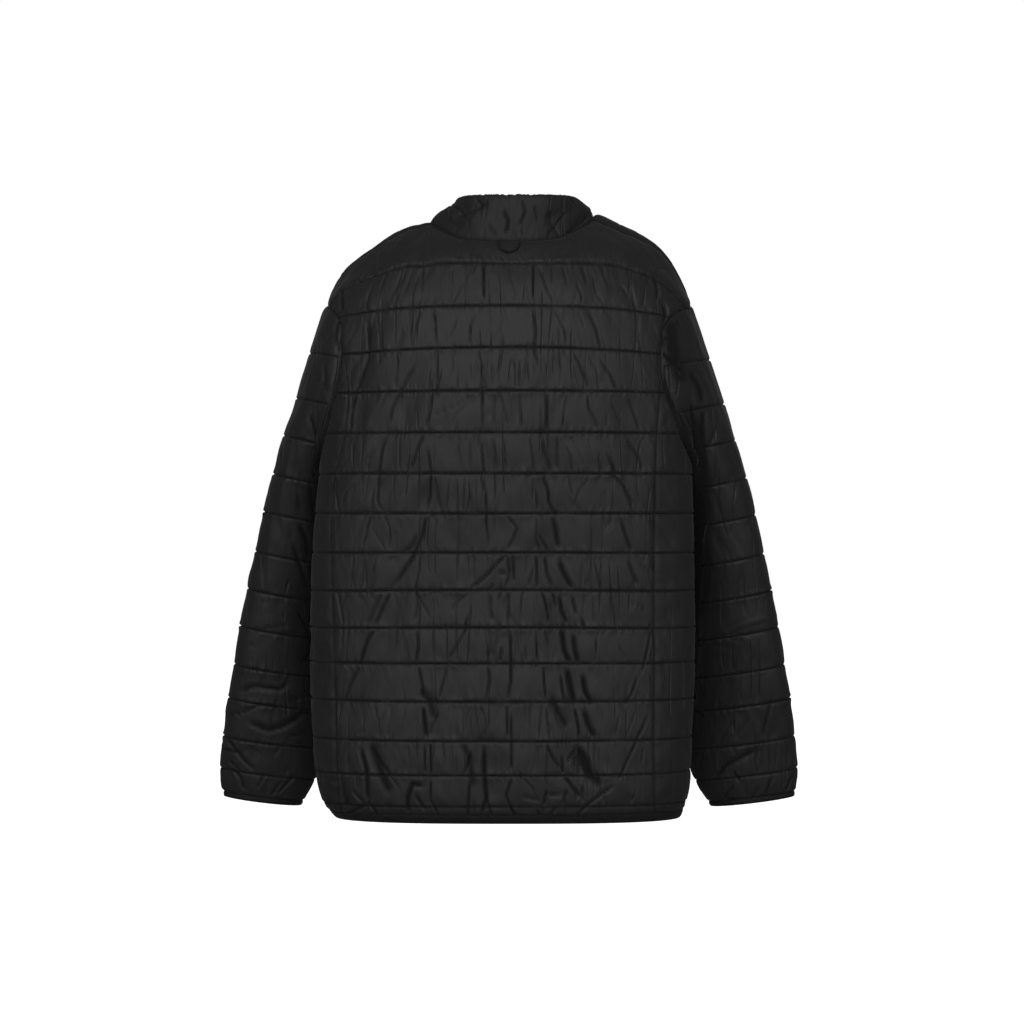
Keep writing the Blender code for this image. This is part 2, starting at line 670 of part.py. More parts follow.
def front_panel(side_name):
    """One front, from the side seam behind the arm round to just past the middle."""
    side = SIDE_OF[side_name]
    under = side_name == "right"
    rows = row_coordinates(1, 16)
    level, fall, _, front_level = stitch_line(rows)
    edge = level - fall
    girth = BODY.half_girth(edge)
    seam = side_seam_share(edge, side_name) + SEAM_GAP / 2 / girth
    below = rows >= UNDERARM_ROW
    hole_level = np.maximum(edge, edge_level(np.array([float(UNDERARM_ROW)]))[0])
    arm_share = armhole_share(edge_level(np.array([float(UNDERARM_ROW)])), ARMHOLE_BACK, side_name)
    behind = np.where(below, arm_share, armhole_share(hole_level, ARMHOLE_BACK, side_name))
    ahead = np.where(below, arm_share, armhole_share(hole_level, ARMHOLE_FRONT, side_name))

    side_part = np.linspace(0, 1, SIDE_COLUMNS + 1)
    side_share = seam[:, None] + (behind - seam)[:, None] * side_part
    shoulder_columns = BACK_HALF_COLUMNS - NECK_COLUMNS
    front_columns = shoulder_columns + FRONT_NECK_COLUMNS
    front_part = np.linspace(0, 1, front_columns + 1)
    front_share = ahead[:, None] + (1 - ahead)[:, None] * front_part
    lap_share = 1 + LAP / girth
    share = np.concatenate([side_share, front_share, lap_share[:, None]], axis=1)

    turn = smooth_step((share - ahead[:, None]) / (1 - ahead[:, None]))
    z = edge[:, None] + (front_level - edge)[:, None] * turn
    points = BODY.point(z, share, side)
    normals = BODY.outward(z, share, side)

    shoulder, _, front_neck = top_edge(side_name)
    lapped = lapped_end(front_neck)
    top = np.concatenate([shoulder, front_neck[1:], lapped[None]])
    rim = np.concatenate(
        [
            shoulder_rim_direction(shoulder[:-1]),
            neck_rim_direction(np.concatenate([front_neck, lapped[None]])),
        ]
    )
    rim[shoulder_columns] = unit(rim[shoulder_columns] + NECK_POINT_LIFT)
    top = top + np.array([0.0, SEAM_GAP / 2, 0.0])
    first = SIDE_COLUMNS + 1
    low = points[0, first:]
    slope_up = unit(points[0, first:] - points[1, first:])
    heading = np.zeros_like(top)
    inner = np.clip(1.6 * np.arange(shoulder_columns)[:, None] / shoulder_columns, 0, 1)
    rise = np.array([[0.0, -0.4, -SHOULDER_RISE[side_name]]])
    heading[:shoulder_columns] = np.array([[0.0, -0.8, -0.3]]) + rise * inner
    heading[shoulder_columns:] = unit(np.array([0.0, -0.55, 0.75]))
    heading[shoulder_columns] = np.array([0.0, -0.8, -NECK_RISE[side_name]])
    shares = np.array(CROWN_ROWS)
    crown_points = crown(low, top, -slope_up, -heading, shares, [0])
    front_grid = np.concatenate([crown_points, points[:, first:]])
    crown_normals = grid_normals(front_grid, side)[: len(shares)]
    crown_normals[0] = rim

    count = len(shares)
    blank = np.repeat(points[:1, :first], count, axis=0)
    grid = np.concatenate([np.concatenate([blank, crown_points], axis=1), points])
    blank_normals = np.repeat(normals[:1, :first], count, axis=0)
    all_normals = np.concatenate(
        [np.concatenate([blank_normals, crown_normals], axis=1), normals]
    )
    all_normals[-1] = level_out(all_normals[-1])
    all_rows = np.concatenate([shares, rows])

    distance = np.abs((1 - share) * girth[:, None])
    top_distance = distance[0].copy()
    neck_steps = np.linalg.norm(np.diff(front_neck, axis=0), axis=1)
    top_distance[first + shoulder_columns : -2] = np.cumsum(neck_steps[::-1])[::-1]
    part = shares[:, None]
    distance = np.concatenate([top_distance * (1 - part) + distance[0] * part, distance])
    grid = grid - all_normals * lap_shift(distance, under)[..., None]
    flat = smooth_step((distance - PLACKET_WIDTH * 0.6) / (PLACKET_WIDTH * 0.6))
    high = CREST_WALL * flat + PLACKET_WALL * (1 - flat)
    base = STITCHED_WALL * flat + PLACKET_WALL * (1 - flat)
    thick = base + (high - base) * puff(all_rows)[:, None]
    thick[:, 0] = STITCHED_WALL
    above = all_rows < UNDERARM_ROW + 1e-6
    thick[above, SIDE_COLUMNS] = thick[above, first] = STITCHED_WALL
    thick[:, -1] = np.maximum(thick[:, -1] * 0.7, STITCHED_WALL)

    rows_count, columns = grid.shape[:2]
    ids = plain_ids(rows_count, columns)
    joined = all_rows >= UNDERARM_ROW - 1e-6
    ids[joined, first] = ids[joined, SIDE_COLUMNS]
    used = np.ones((rows_count - 1, columns - 1), bool)
    used[:, SIDE_COLUMNS] = False
    used[all_rows[:-1] < SEAM_TOP_ROW - 1e-6, :SIDE_COLUMNS] = False
    outer = grid + all_normals * thick[..., None]
    colour = (0.034, 0.034, 0.036)
    return make_wall(
        "front_" + side_name, grid, outer, ids, used, band_rows(all_rows), colour
    )


# Sleeves


def armhole_ring(side_name):
    """The armhole's edge as points and outward directions: shoulder, back, underarm, front."""
    side = SIDE_OF[side_name]
    rows = row_coordinates(1, UNDERARM_ROW)
    level = edge_level(rows)
    back = armhole_share(level, ARMHOLE_BACK, side_name)
    front = armhole_share(level, ARMHOLE_FRONT, side_name)
    shoulder = np.array(SHOULDER_SEAM[-1]) * np.array([side, 1, 1])
    points = np.concatenate(
        [
            shoulder[None],
            BODY.point(level, back, side),
            BODY.point(level[:-1], front[:-1], side)[::-1],
        ]
    )
    directions = np.concatenate(
        [
            shoulder_rim_direction(shoulder[None]),
            BODY.outward(level, back, side),
            BODY.outward(level[:-1], front[:-1], side)[::-1],
        ]
    )
    return points, directions


def sleeve_ring(level, shares, side_name):
    """A slanted oval of the sleeve, read from its outermost point round by the back."""
    side = SIDE_OF[side_name]
    long_half, short_half, turn, forward, slope = through(SLEEVE_SECTIONS, level)
    lower = smooth_step((-0.40 - level) / 0.20)
    long_half *= 1 + (SLEEVE_FULLNESS[side_name] - 1) * lower
    forward += SLEEVE_FORWARD[side_name] * (1 - lower)
    edge = through(SLEEVE_OUTER, level)[0]
    inward = np.array([-math.cos(slope), 0.0, -math.sin(slope)])
    ahead = np.array([0.0, 1.0, 0.0])
    turn = math.radians(turn)
    long_way = math.cos(turn) * inward + math.sin(turn) * ahead
    short_way = -math.sin(turn) * inward + math.cos(turn) * ahead
    angle = np.linspace(0, 2 * math.pi, 721)
    oval = (
        long_half * np.cos(angle)[:, None] * long_way
        + short_half * np.sin(angle)[:, None] * short_way
    )
    start = int(np.argmin(oval[:-1] @ inward))
    oval = np.roll(oval[:-1], -start, axis=0)
    if oval[30, 1] > oval[0, 1]:
        oval = np.roll(oval[::-1], 1, axis=0)
    oval = np.vstack([oval, oval[:1]])
    centre = np.array([edge, forward, level]) - oval[0] * np.array([1.0, 0.0, 1.0])
    run = np.append(0, np.cumsum(np.linalg.norm(np.diff(oval, axis=0), axis=1)))
    at = (np.asarray(shares) % 1.0) * run[-1]
    ring = centre + np.stack([np.interp(at, run, c) for c in oval.T], -1)
    return ring * np.array([side, 1.0, 1.0])


def sleeve_level(rows, side_name):
    """The level of a sleeve's outer edge at a row coordinate, 0 being the shoulder point."""
    lead = SLEEVE_LEAD[side_name]
    lines = [SHOULDER_SEAM[-1][2]]
    lines += [z - lead * max(0.0, 1 - (k + 1) / 9) for k, z in enumerate(SLEEVE_LINES)]
    return np.interp(rows, range(len(lines)), lines)


def sleeve_surface(rows, side_name, ring_points, ring_directions):
    """Inner points of the sleeve: one row for each row coordinate, one column for each ring
    point. Above the free line each column is a smooth run down from the armhole."""
    side = SIDE_OF[side_name]
    count = len(ring_points)
    shares = np.arange(count) / count
    free_level = float(sleeve_level(float(FREE_LINE), side_name))
    free_ring = sleeve_ring(free_level, shares, side_name)
    next_ring = sleeve_ring(free_level - 0.02, shares, side_name)
    tangent = np.roll(ring_points, -1, axis=0) - np.roll(ring_points, 1, axis=0)
    into = unit(np.cross(ring_directions, tangent)) * side
    centre = ring_points.mean(axis=0)
    into *= np.sign(((centre - ring_points) * into).sum(axis=1, keepdims=True))
    start = ring_points + SEAM_GAP * into
    low = (1 - np.cos(2 * np.pi * shares)) / 2
    low = low[:, None]
    down = np.array([0.0, 0.0, -1.0])
    outward = np.array([side, 0.0, 0.0])
    way = unit(
        (1 - low) * (0.36 * outward + 0.93 * down)
        + low * (1.0 * outward + 0.12 * down)
        + 0.22 * ring_directions * np.sin(2 * np.pi * shares)[:, None] ** 2
    )
    reach = 0.16 * (1 - low) + 0.100 * low
    finish = unit(next_ring - free_ring) * (0.16 * (1 - low) + 0.05 * low)
    steps = np.linspace(0, 1, 200)[:, None, None]
    run = (
        (1 + 2 * steps) * (1 - steps) ** 2 * start
        + steps * (1 - steps) ** 2 * way * reach
        + steps**2 * (3 - 2 * steps) * free_ring
        + steps**2 * (steps - 1) * finish
    )
    slope = through(SLEEVE_SECTIONS, free_level)[4]
    points = np.zeros((len(rows), count, 3))
    for r, row in enumerate(rows):
        level = float(sleeve_level(row, side_name))
        if row >= FREE_LINE:
            points[r] = sleeve_ring(level, shares, side_name)
            continue
        edge = through(SLEEVE_OUTER, level)[0]
        for c in range(count):
            track = run[:, c]
            height = track[:, 2] + math.tan(slope) * (edge - np.abs(track[:, 0])) - level
            passed = np.flatnonzero(height <= 0)
            where = passed[0] / (len(track) - 1) if len(passed) else 1.0
            if len(passed) and passed[0] > 0:
                k = passed[0]
                where = (k - 1 + height[k - 1] / (height[k - 1] - height[k])) / (len(track) - 1)
            where = max(where, LEAST_SPREAD * row / FREE_LINE)
            if row == 0:
                where = 0.0
            at = min(where, 1.0) * (len(track) - 1)
            k = min(int(at), len(track) - 2)
            points[r, c] = track[k] + (at - k) * (track[k + 1] - track[k])
    return points


def cuff_axis(side_name):
    """Out of the cuff, square to its edge."""
    slope = through(SLEEVE_SECTIONS, SLEEVE_LINES[-1])[4]
    return np.array([SIDE_OF[side_name] * math.sin(slope), 0.0, -math.cos(slope)])


def sleeve(side_name):
    side = SIDE_OF[side_name]
    lines = len(SLEEVE_LINES)
    rows = np.arange(lines * ROWS_IN_CHANNEL + 1) / ROWS_IN_CHANNEL
    ring_points, ring_directions = armhole_ring(side_name)
    surface = sleeve_surface(rows, side_name, ring_points, ring_directions)
    looped = np.concatenate([surface[:, -2:], surface, surface[:, :2]], axis=1)
    normals = grid_normals(looped, side)[:, 2:-2]
    beyond = np.linalg.norm(surface - surface[:1], axis=2)[..., None]
    near = np.clip(1 - beyond / RIM_BLEND, 0, 1)
    normals = unit(near * ring_directions + (1 - near) * normals)
    axis = cuff_axis(side_name)
    normals[-1] = unit(normals[-1] - (normals[-1] @ axis)[:, None] * axis)
    spacing = np.linalg.norm(np.diff(surface, axis=0), axis=2)
    spacing = np.vstack([spacing[:1], spacing])
    room = np.clip((spacing - 0.004) / 0.008, 0, 1) * np.clip(beyond[..., 0] / 0.018, 0, 1)
    thick = STITCHED_WALL + (CREST_WALL - STITCHED_WALL) * puff(rows)[:, None] * room
    thick[0] = STITCHED_WALL
    outer = surface + normals * thick[..., None]
    even = list(range(0, surface.shape[1], 2)) + [0]
    odd = list(range(1, surface.shape[1], 2))
    ids = plain_ids(len(rows), len(even), closed=True)
    used = np.ones((len(rows) - 1, len(even) - 1), bool)
    bands = band_rows(rows)
    colour = (0.028, 0.028, 0.030)
    return make_wall(
        "sleeve_" + side_name,
        surface[:, even],
        outer[:, even],
        ids,
        used,
        bands,
        colour,
        edge_points=(surface[0, odd], outer[0, odd]),
    )


# Collar, bindings and small parts


def neckline():
    """The neck edge from the upper front's end, round by the back, to the under front's end,
    and the direction out of the cloth along it."""
    halves = []
    for side_name in ("left", "right"):
        _, back_neck, front_neck = top_edge(side_name)
        lapped = lapped_end(front_neck)
        halves.append(np.concatenate([back_neck[::-1], front_neck[1:], lapped[None]]))
    edge = np.concatenate([halves[0][::-1], halves[1][1:]])
    rim = neck_rim_direction(edge)
    for corner in (FRONT_NECK_COLUMNS + 1, -FRONT_NECK_COLUMNS - 2):
        rim[corner] = unit(rim[corner] + NECK_POINT_LIFT)
    return edge, rim


def split_columns(points, parts):
    """The points with each step between two of them divided evenly."""
    places = np.arange((len(points) - 1) * parts + 1) / parts
    return np.stack([np.interp(places, range(len(points)), c) for c in points.T], -1)


def collar_piece():
    """The stand collar, from the neck seam up to its gathered edge."""
    edge, rim = neckline()
    base, rim = split_columns(edge, COLLAR_SPLIT), unit(split_columns(rim, COLLAR_SPLIT))
    run = np.append(0, np.cumsum(np.linalg.norm(np.diff(base, axis=0), axis=1)))
    middle = len(base) // 2
    last = middle - COLLAR_SPLIT  # columns from the middle of the back to the middle of the front
    share = np.abs(run - run[middle]) / (run[middle + last] - run[middle])
    side = np.sign(run - run[middle])
    past = share > 1
    near = np.where(past, 2 - share, share)
    top = through(COLLAR_TOP, near)
    top[:, 0] *= side * np.where(past, -1, 1)
    top[:, 0] += COLLAR_SWAY * np.minimum(2 * (1 - near), 1)
    away = level_out(top - np.array([0.0, -0.002, 0.0]))
    up = unit(np.cross(rim, np.gradient(base, axis=0)))
    up *= np.sign(up[:, 2:])
    distance = np.abs(1 - share) * (run[middle + last] - run[middle])
    distance = np.where(past, 0.0, distance)
    under = (side > 0)[:, None] * lap_shift(distance, True)[:, None]
    low = base + up * SEAM_GAP - rim * under
    high = top - away * under
    f = (np.arange(COLLAR_ROWS + 1) / COLLAR_ROWS)[:, None, None]
    length = np.linalg.norm(high - low, axis=1, keepdims=True)
    lift = unit(np.array([0.0, 0.0, 1.0]) - 0.05 * away)
    grid = (
        (1 + 2 * f) * (1 - f) ** 2 * low
        + f * (1 - f) ** 2 * unit(up + lift) * length
        + f**2 * (3 - 2 * f) * high
        + f**2 * (f - 1) * lift * length
    )
    normals = grid_normals(grid, 1.0)
    normals *= np.sign((normals * away).sum(axis=2, keepdims=True))
    normals[0], normals[-1] = rim, away
    bulge = np.sin(np.pi * np.arange(COLLAR_ROWS + 1) / COLLAR_ROWS) ** 0.7
    thick = COLLAR_EDGE_WALL + (COLLAR_CREST_WALL - COLLAR_EDGE_WALL) * bulge[:, None]
    thick = np.repeat(thick, grid.shape[1], axis=1)
    behind = np.clip(-grid[..., 1] / 0.03, 0, 1)
    folds = fold_depth(grid, COLLAR_FOLDS) * behind * np.sin(np.pi * f[..., 0]) ** 0.5
    thick[:, 0] = thick[:, -1] = COLLAR_EDGE_WALL
    outer = grid + normals * (np.maximum(thick - folds, COLLAR_EDGE_WALL))[..., None]
    rows, columns = grid.shape[:2]
    ids = plain_ids(rows, columns)
    used = np.ones((rows - 1, columns - 1), bool)
    return make_wall("collar", grid, outer, ids, used, range(rows), (0.036, 0.036, 0.038))


def tube(name, centres, radius, colour):
    """A round cord through the points, its ends closed."""
    curve = bpy.data.curves.new(name, "CURVE")
    curve.dimensions = "3D"
    curve.bevel_depth = radius
    curve.bevel_resolution = 2
    curve.use_fill_caps = True
    spline = curve.splines.new("POLY")
    spline.points.add(len(centres) - 1)
    for point, centre in zip(spline.points, centres):
        point.co = (*centre, 1.0)
    return new_object(name, curve, colour)


def neck_tape():
    """The narrow piping over the back neck seam, from neck point to neck point."""
    edge, rim = neckline()
    middle = len(edge) // 2
    behind = slice(middle - NECK_COLUMNS, middle + NECK_COLUMNS + 1)
    edge = split_columns(edge[behind], COLLAR_SPLIT)[TAPE_SHORTER:-TAPE_SHORTER]
    rim = unit(split_columns(rim[behind], COLLAR_SPLIT))[TAPE_SHORTER:-TAPE_SHORTER]
    to_end = np.abs(np.linspace(-1, 1, len(edge)))[:, None]
    lean = TAPE_LEAN + TAPE_END_LEAN * to_end**4
    rise = (level_out(-edge) + np.array([0.0, 0.0, 1.0])) * lean
    reach = COLLAR_EDGE_WALL + TAPE_RADIUS + 3.2 * SEAM_GAP + TAPE_END_RISE * to_end**1.5
    return tube("neck_tape", edge + rim * reach + rise, TAPE_RADIUS, (0.040, 0.040, 0.042))


def on_surface(piece, start, way):
    """Where a line from start meets the piece, and the normal there."""
    _, place, normal, _ = piece.ray_cast(Vector(start), Vector(way))
    return np.array(place), np.array(normal)


def hang_loop(back):
    """A small cord loop that lies on the back below the neck tape."""
    centres = []
    for turn in np.linspace(0, math.pi, 17):
        out, level = -LOOP_HALF_WIDTH * math.cos(turn), LOOP_TOP - LOOP_DROP * math.sin(turn)
        place, normal = on_surface(back, (out, -0.5, level), (0, 1, 0))
        centres.append(place + normal * (LOOP_CORD_RADIUS + 1.4 * SEAM_GAP))
    return tube("hang_loop", centres, LOOP_CORD_RADIUS, (0.040, 0.040, 0.042))


def stud(name, cloth, level):
    """The cap of a press stud, on the middle of the upper front."""
    place, normal = on_surface(cloth, (0.0, 0.5, level), (0, -1, 0))
    mesh = bpy.data.meshes.new(name)
    work = bmesh.new()
    bmesh.ops.create_cone(
        work, cap_ends=True, segments=24, radius1=STUD_RADIUS, radius2=STUD_RADIUS,
        depth=STUD_HEIGHT,
    )
    turn = Vector(normal).to_track_quat("Z", "Y").to_matrix().to_4x4()
    turn.translation = Vector(place + normal * (STUD_HEIGHT / 2 + 1.6 * SEAM_GAP))
    bmesh.ops.transform(work, matrix=turn, verts=work.verts)
    work.to_mesh(mesh)
    work.free()
    return new_object(name, mesh, (0.02, 0.02, 0.02), roughness=0.35)


def binding(name, rows_of_points, outward, closed):
    """A rounded band whose rows run from the cloth's edge down."""
    bulge = np.sin(np.pi * np.arange(BINDING_ROWS + 1) / BINDING_ROWS) ** 0.6
    outside = STITCHED_WALL + (BINDING_WALL - BINDING_INSIDE - STITCHED_WALL) * bulge
    inside = rows_of_points - outward * (BINDING_INSIDE * bulge)[:, None, None]
    outer = rows_of_points + outward * outside[:, None, None]
    rows, columns = rows_of_points.shape[:2]
    ids = plain_ids(rows, columns, closed)
    used = np.ones((rows - 1, columns - 1), bool)
    return make_wall(name, inside, outer, ids, used, range(rows), (0.024, 0.024, 0.026))


def hem_binding():
    """The narrow band round the hem, lapped at the front like the fronts."""
    down = np.arange(BINDING_ROWS + 1) / BINDING_ROWS
    level = HEM_CLOTH_LEVEL - SEAM_GAP - HEM_BINDING_HEIGHT * down
    girth = BODY.half_girth(level)[:, None]
    turn = np.linspace(-1, 1, HEM_BINDING_COLUMNS + 1)
    share = np.abs(turn) * (1 + LAP / girth)
    points, outward = [], []
    for side_name, mine in (("left", turn <= 0), ("right", turn > 0)):
        side = SIDE_OF[side_name]
        z = np.repeat(level[:, None], mine.sum(), axis=1)
        place = BODY.point(z, share[:, mine], side)
        way = level_out(BODY.outward(z, share[:, mine], side))
        distance = np.maximum(1 - share[:, mine], 0) * girth
        step = lap_shift(distance, side_name == "right")
        points.append(place - way * step[..., None])
        outward.append(way)
    points, outward = np.concatenate(points, axis=1), np.concatenate(outward, axis=1)
    return binding("hem_binding", points, outward, False)


def cuff_binding(side_name):
    axis = cuff_axis(side_name)
    shares = np.arange(CUFF_COLUMNS + 1) / CUFF_COLUMNS
    ring = sleeve_ring(SLEEVE_LINES[-1], shares, side_name)
    along_ring = np.roll(ring[:-1], -1, axis=0) - np.roll(ring[:-1], 1, axis=0)
    outward = unit(np.cross(along_ring, axis))
    outward *= np.sign(((ring[:-1] - ring[:-1].mean(axis=0)) * outward).sum(axis=1, keepdims=True))
    outward = np.vstack([outward, outward[:1]])
    down = SEAM_GAP + CUFF_BINDING_HEIGHT * np.arange(BINDING_ROWS + 1) / BINDING_ROWS
    rows = ring[None] + axis * down[:, None, None]
    return binding("cuff_binding_" + side_name, rows, outward[None], True)


def build():
    for old in list(bpy.data.objects):
        bpy.data.objects.remove(old)
    bpy.context.scene.collection.children.link(JACKET)
    back = back_panel()
    fronts = {}
    for side_name in ("left", "right"):
        fronts[side_name] = front_panel(side_name)
        sleeve(side_name)
        cuff_binding(side_name)
    collar = collar_piece()
    neck_tape()
    hem_binding()
    bpy.context.view_layer.update()
    hang_loop(back)
    stud("stud_collar", collar, COLLAR_STUD_LEVEL)
    for k, level in enumerate(STUD_LEVELS):
        stud("stud_" + str(k + 1), fronts["left"], level)


build()
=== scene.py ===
import math

import bmesh
import bpy
import numpy as np
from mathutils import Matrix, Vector


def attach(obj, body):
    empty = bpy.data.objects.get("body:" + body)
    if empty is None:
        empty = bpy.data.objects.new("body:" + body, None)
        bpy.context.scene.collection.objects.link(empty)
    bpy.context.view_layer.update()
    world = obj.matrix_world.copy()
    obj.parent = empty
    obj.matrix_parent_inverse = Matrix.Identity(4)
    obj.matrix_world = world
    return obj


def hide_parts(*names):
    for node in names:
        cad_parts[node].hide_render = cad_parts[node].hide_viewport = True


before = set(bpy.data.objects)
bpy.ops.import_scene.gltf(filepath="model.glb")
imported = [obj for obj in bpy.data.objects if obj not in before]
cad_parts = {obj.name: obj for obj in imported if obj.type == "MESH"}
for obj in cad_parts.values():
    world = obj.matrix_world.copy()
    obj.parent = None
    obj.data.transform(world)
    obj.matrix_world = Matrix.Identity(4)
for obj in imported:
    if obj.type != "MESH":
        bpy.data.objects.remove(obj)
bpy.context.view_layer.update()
print("frame loaded")

walls = {
    "stitched": 0.002,  # on a stitch line or in a seam
    "placket": 0.003,
}
seams = {
    "gap": 0.0003,
    "rimReach": 0.022,  # how far in from its edge a panel takes the direction of that edge
    "sideTopRow": 3,  # the side seam meets the armhole here
    "sideTopTab": 0.0028,  # the front's width there
    "sideHold": 0.25,  # how far a side seam draws the padding down, where an armhole has 1
    "underarmRow": 6,
    "hemLevel": -0.692,  # the cloth's lower edge
}
grain = {  # how finely the cloth is divided
    "crown": 20,  # rows above the first stitch line
    "channel": 17,  # rows from one stitch line to the next
    "lastChannel": 8,
    "halfBack": 165,
    "neck": 66,  # of the half back, from the middle to the neck point
    "side": 30,  # of a front, from the side seam to the line under the arm
    "frontNeck": 50,  # of a front, from the neck point to the middle
    "section": 240,
}
shoulderColumns = grain["halfBack"] - grain["neck"]
closing = {
    "lap": 0.018,  # how far each front passes the middle
    "step": 0.0072,  # how far the under front lies behind the upper one
    "still": 0.028,  # the width over which it lies that far behind
    "ramp": 0.075,  # and the distance at which it has come level again
    "placket": 0.034,
}
sideOf = {"left": -1.0, "right": 1.0}
columnOf = {"left": 1, "right": 2}  # in a table that has both sides

# The camera of the picture that the creases were placed in, 1024 pixels square.
pictureFrom = {"out": 0.0037, "distance": 3.0, "level": -0.328, "middle": 512, "pixel": 0.00125}

# Level of each stitch line at the middle of the back, how much lower it is at the back's side
# edge, how late it starts to fall, and its level at the middle of the front.
stitchLines = (
    # row, level, fall, lateness, front level
    (1, -0.029, 0.050, 6.0, -0.062),
    (2, -0.081, 0.011, 3.0, -0.104),
    (3, -0.131, 0.006, 2.0, -0.146),
    (4, -0.183, 0.001, 2.0, -0.192),
    (5, -0.233, 0.000, 2.0, -0.238),
    (6, -0.282, 0.000, 2.0, -0.284),
    (7, -0.330, 0.000, 2.0, -0.330),
    (8, -0.377, 0.001, 2.0, -0.377),
    (9, -0.422, 0.002, 2.0, -0.422),
    (10, -0.467, 0.002, 2.0, -0.467),
    (11, -0.510, 0.001, 2.0, -0.510),
    (12, -0.556, 0.000, 2.0, -0.556),
    (13, -0.603, 0.000, 2.0, -0.603),
    (14, -0.644, 0.000, 2.0, -0.644),
    (15, -0.681, 0.000, 2.0, -0.681),
    (16, seams["hemLevel"], 0.000, 2.0, seams["hemLevel"]),
)

# Level sections of the inner surface: rounded oblongs that are flatter behind than in front.
bodySections = (
    # level, half width, sway, back, front, widest at, squareness behind, in front
    (-0.020, 0.1975, 0.0000, -0.087, 0.070, -0.008, 2.3, 2.4),
    (-0.034, 0.2030, 0.0000, -0.095, 0.076, -0.009, 2.3, 2.4),
    (-0.059, 0.2175, 0.0000, -0.106, 0.085, -0.010, 2.3, 2.5),
    (-0.071, 0.2225, 0.0000, -0.110, 0.089, -0.010, 2.3, 2.5),
    (-0.100, 0.2245, 0.0000, -0.117, 0.096, -0.018, 2.3, 2.5),
    (-0.150, 0.2245, -0.0010, -0.122, 0.101, -0.025, 2.3, 2.5),
    (-0.200, 0.2240, -0.0020, -0.124, 0.103, -0.030, 2.3, 2.4),
    (-0.250, 0.2245, -0.0040, -0.124, 0.103, -0.030, 2.4, 2.2),
    (-0.290, 0.2260, -0.0050, -0.122, 0.102, -0.030, 2.5, 2.0),
    (-0.330, 0.2285, -0.0060, -0.120, 0.101, -0.030, 2.5, 2.0),
    (-0.390, 0.2315, -0.0075, -0.117, 0.100, -0.030, 2.6, 2.0),
    (-0.450, 0.2320, -0.0075, -0.117, 0.102, -0.030, 2.6, 2.0),
    (-0.510, 0.2315, -0.0075, -0.119, 0.105, -0.030, 2.6, 2.0),
    (-0.560, 0.2305, -0.0075, -0.121, 0.107, -0.030, 2.7, 2.0),
    (-0.610, 0.2280, -0.0075, -0.123, 0.108, -0.030, 2.8, 2.1),
    (-0.660, 0.2245, -0.0065, -0.1235, 0.108, -0.030, 2.8, 2.1),
    (-0.685, 0.2190, -0.0050, -0.121, 0.106, -0.030, 2.8, 2.1),
    (-0.705, 0.2095, -0.0010, -0.114, 0.100, -0.030, 2.8, 2.1),
)

# Side seams, which show on the back: how far out they lie at each level.
sideSeams = (
    # level, left, right
    (-0.131, 0.1975, 0.1835), (-0.160, 0.1930, 0.1830), (-0.183, 0.1900, 0.1815),
    (-0.233, 0.1930, 0.1800), (-0.300, 0.2050, 0.1790), (-0.420, 0.2030, 0.1800),
    (-0.560, 0.1990, 0.1800), (-0.705, 0.1960, 0.1790),
)

# Armholes: how far forward the edge lies at each level, down the back and up the front.
armholeBack = (
    # level, left, right
    (-0.071, -0.010, -0.010), (-0.079, -0.044, -0.050), (-0.098, -0.067, -0.078),
    (-0.125, -0.0735, -0.0855), (-0.165, -0.075, -0.089), (-0.205, -0.0685, -0.081),
    (-0.245, -0.0535, -0.0665), (-0.268, -0.034, -0.042), (-0.282, -0.005, -0.005),
)
armholeFront = (
    # level, left, right
    (-0.071, -0.010, -0.010), (-0.079, 0.015, 0.015), (-0.098, 0.037, 0.037),
    (-0.125, 0.050, 0.050), (-0.165, 0.055, 0.055), (-0.205, 0.051, 0.051), (-0.245, 0.038, 0.038),
    (-0.268, 0.020, 0.020), (-0.282, -0.005, -0.005),
)

# The edge along the top of the back: the neckline to the neck point, then the shoulder seam.
backTop = (
    # out, forward, level
    (0.0000, -0.0700, 0.0000), (0.0300, -0.0675, 0.0012), (0.0577, -0.0560, 0.0054),
    (0.0800, -0.0360, 0.0175), (0.0965, -0.0120, 0.0310),
)
shoulderSeam = (
    # out, forward, level
    (0.0965, -0.0120, 0.0310), (0.1250, -0.0215, 0.0190), (0.1550, -0.0235, 0.0075),
    (0.1780, -0.0190, -0.0060), (0.1955, -0.0130, -0.0220), (0.2110, -0.0105, -0.0450),
    (0.2225, -0.0100, -0.0710),
)
frontNeckline = (
    # out, forward, level
    (0.0965, -0.0120, 0.0310), (0.0955, 0.0150, 0.0200), (0.0830, 0.0380, 0.0020),
    (0.0580, 0.0540, -0.0200), (0.0280, 0.0620, -0.0380), (0.0000, 0.0640, -0.0450),
)

jacket = bpy.data.collections.new("quilted_liner_jacket")
bpy.context.scene.collection.children.link(jacket)


# Curves and surfaces


def curved(f, start, startWay, end, endWay):
    return (
        (1 + 2 * f) * (1 - f) ** 2 * start
        + f * (1 - f) ** 2 * startWay
        + f**2 * (3 - 2 * f) * end
        + f**2 * (f - 1) * endWay
    )


def sampled(at, run, points):
    return np.stack([np.interp(at, run, c) for c in points.T], -1)


def runLength(points):
    return np.append(0, np.cumsum(np.linalg.norm(np.diff(points, axis=0), axis=1)))


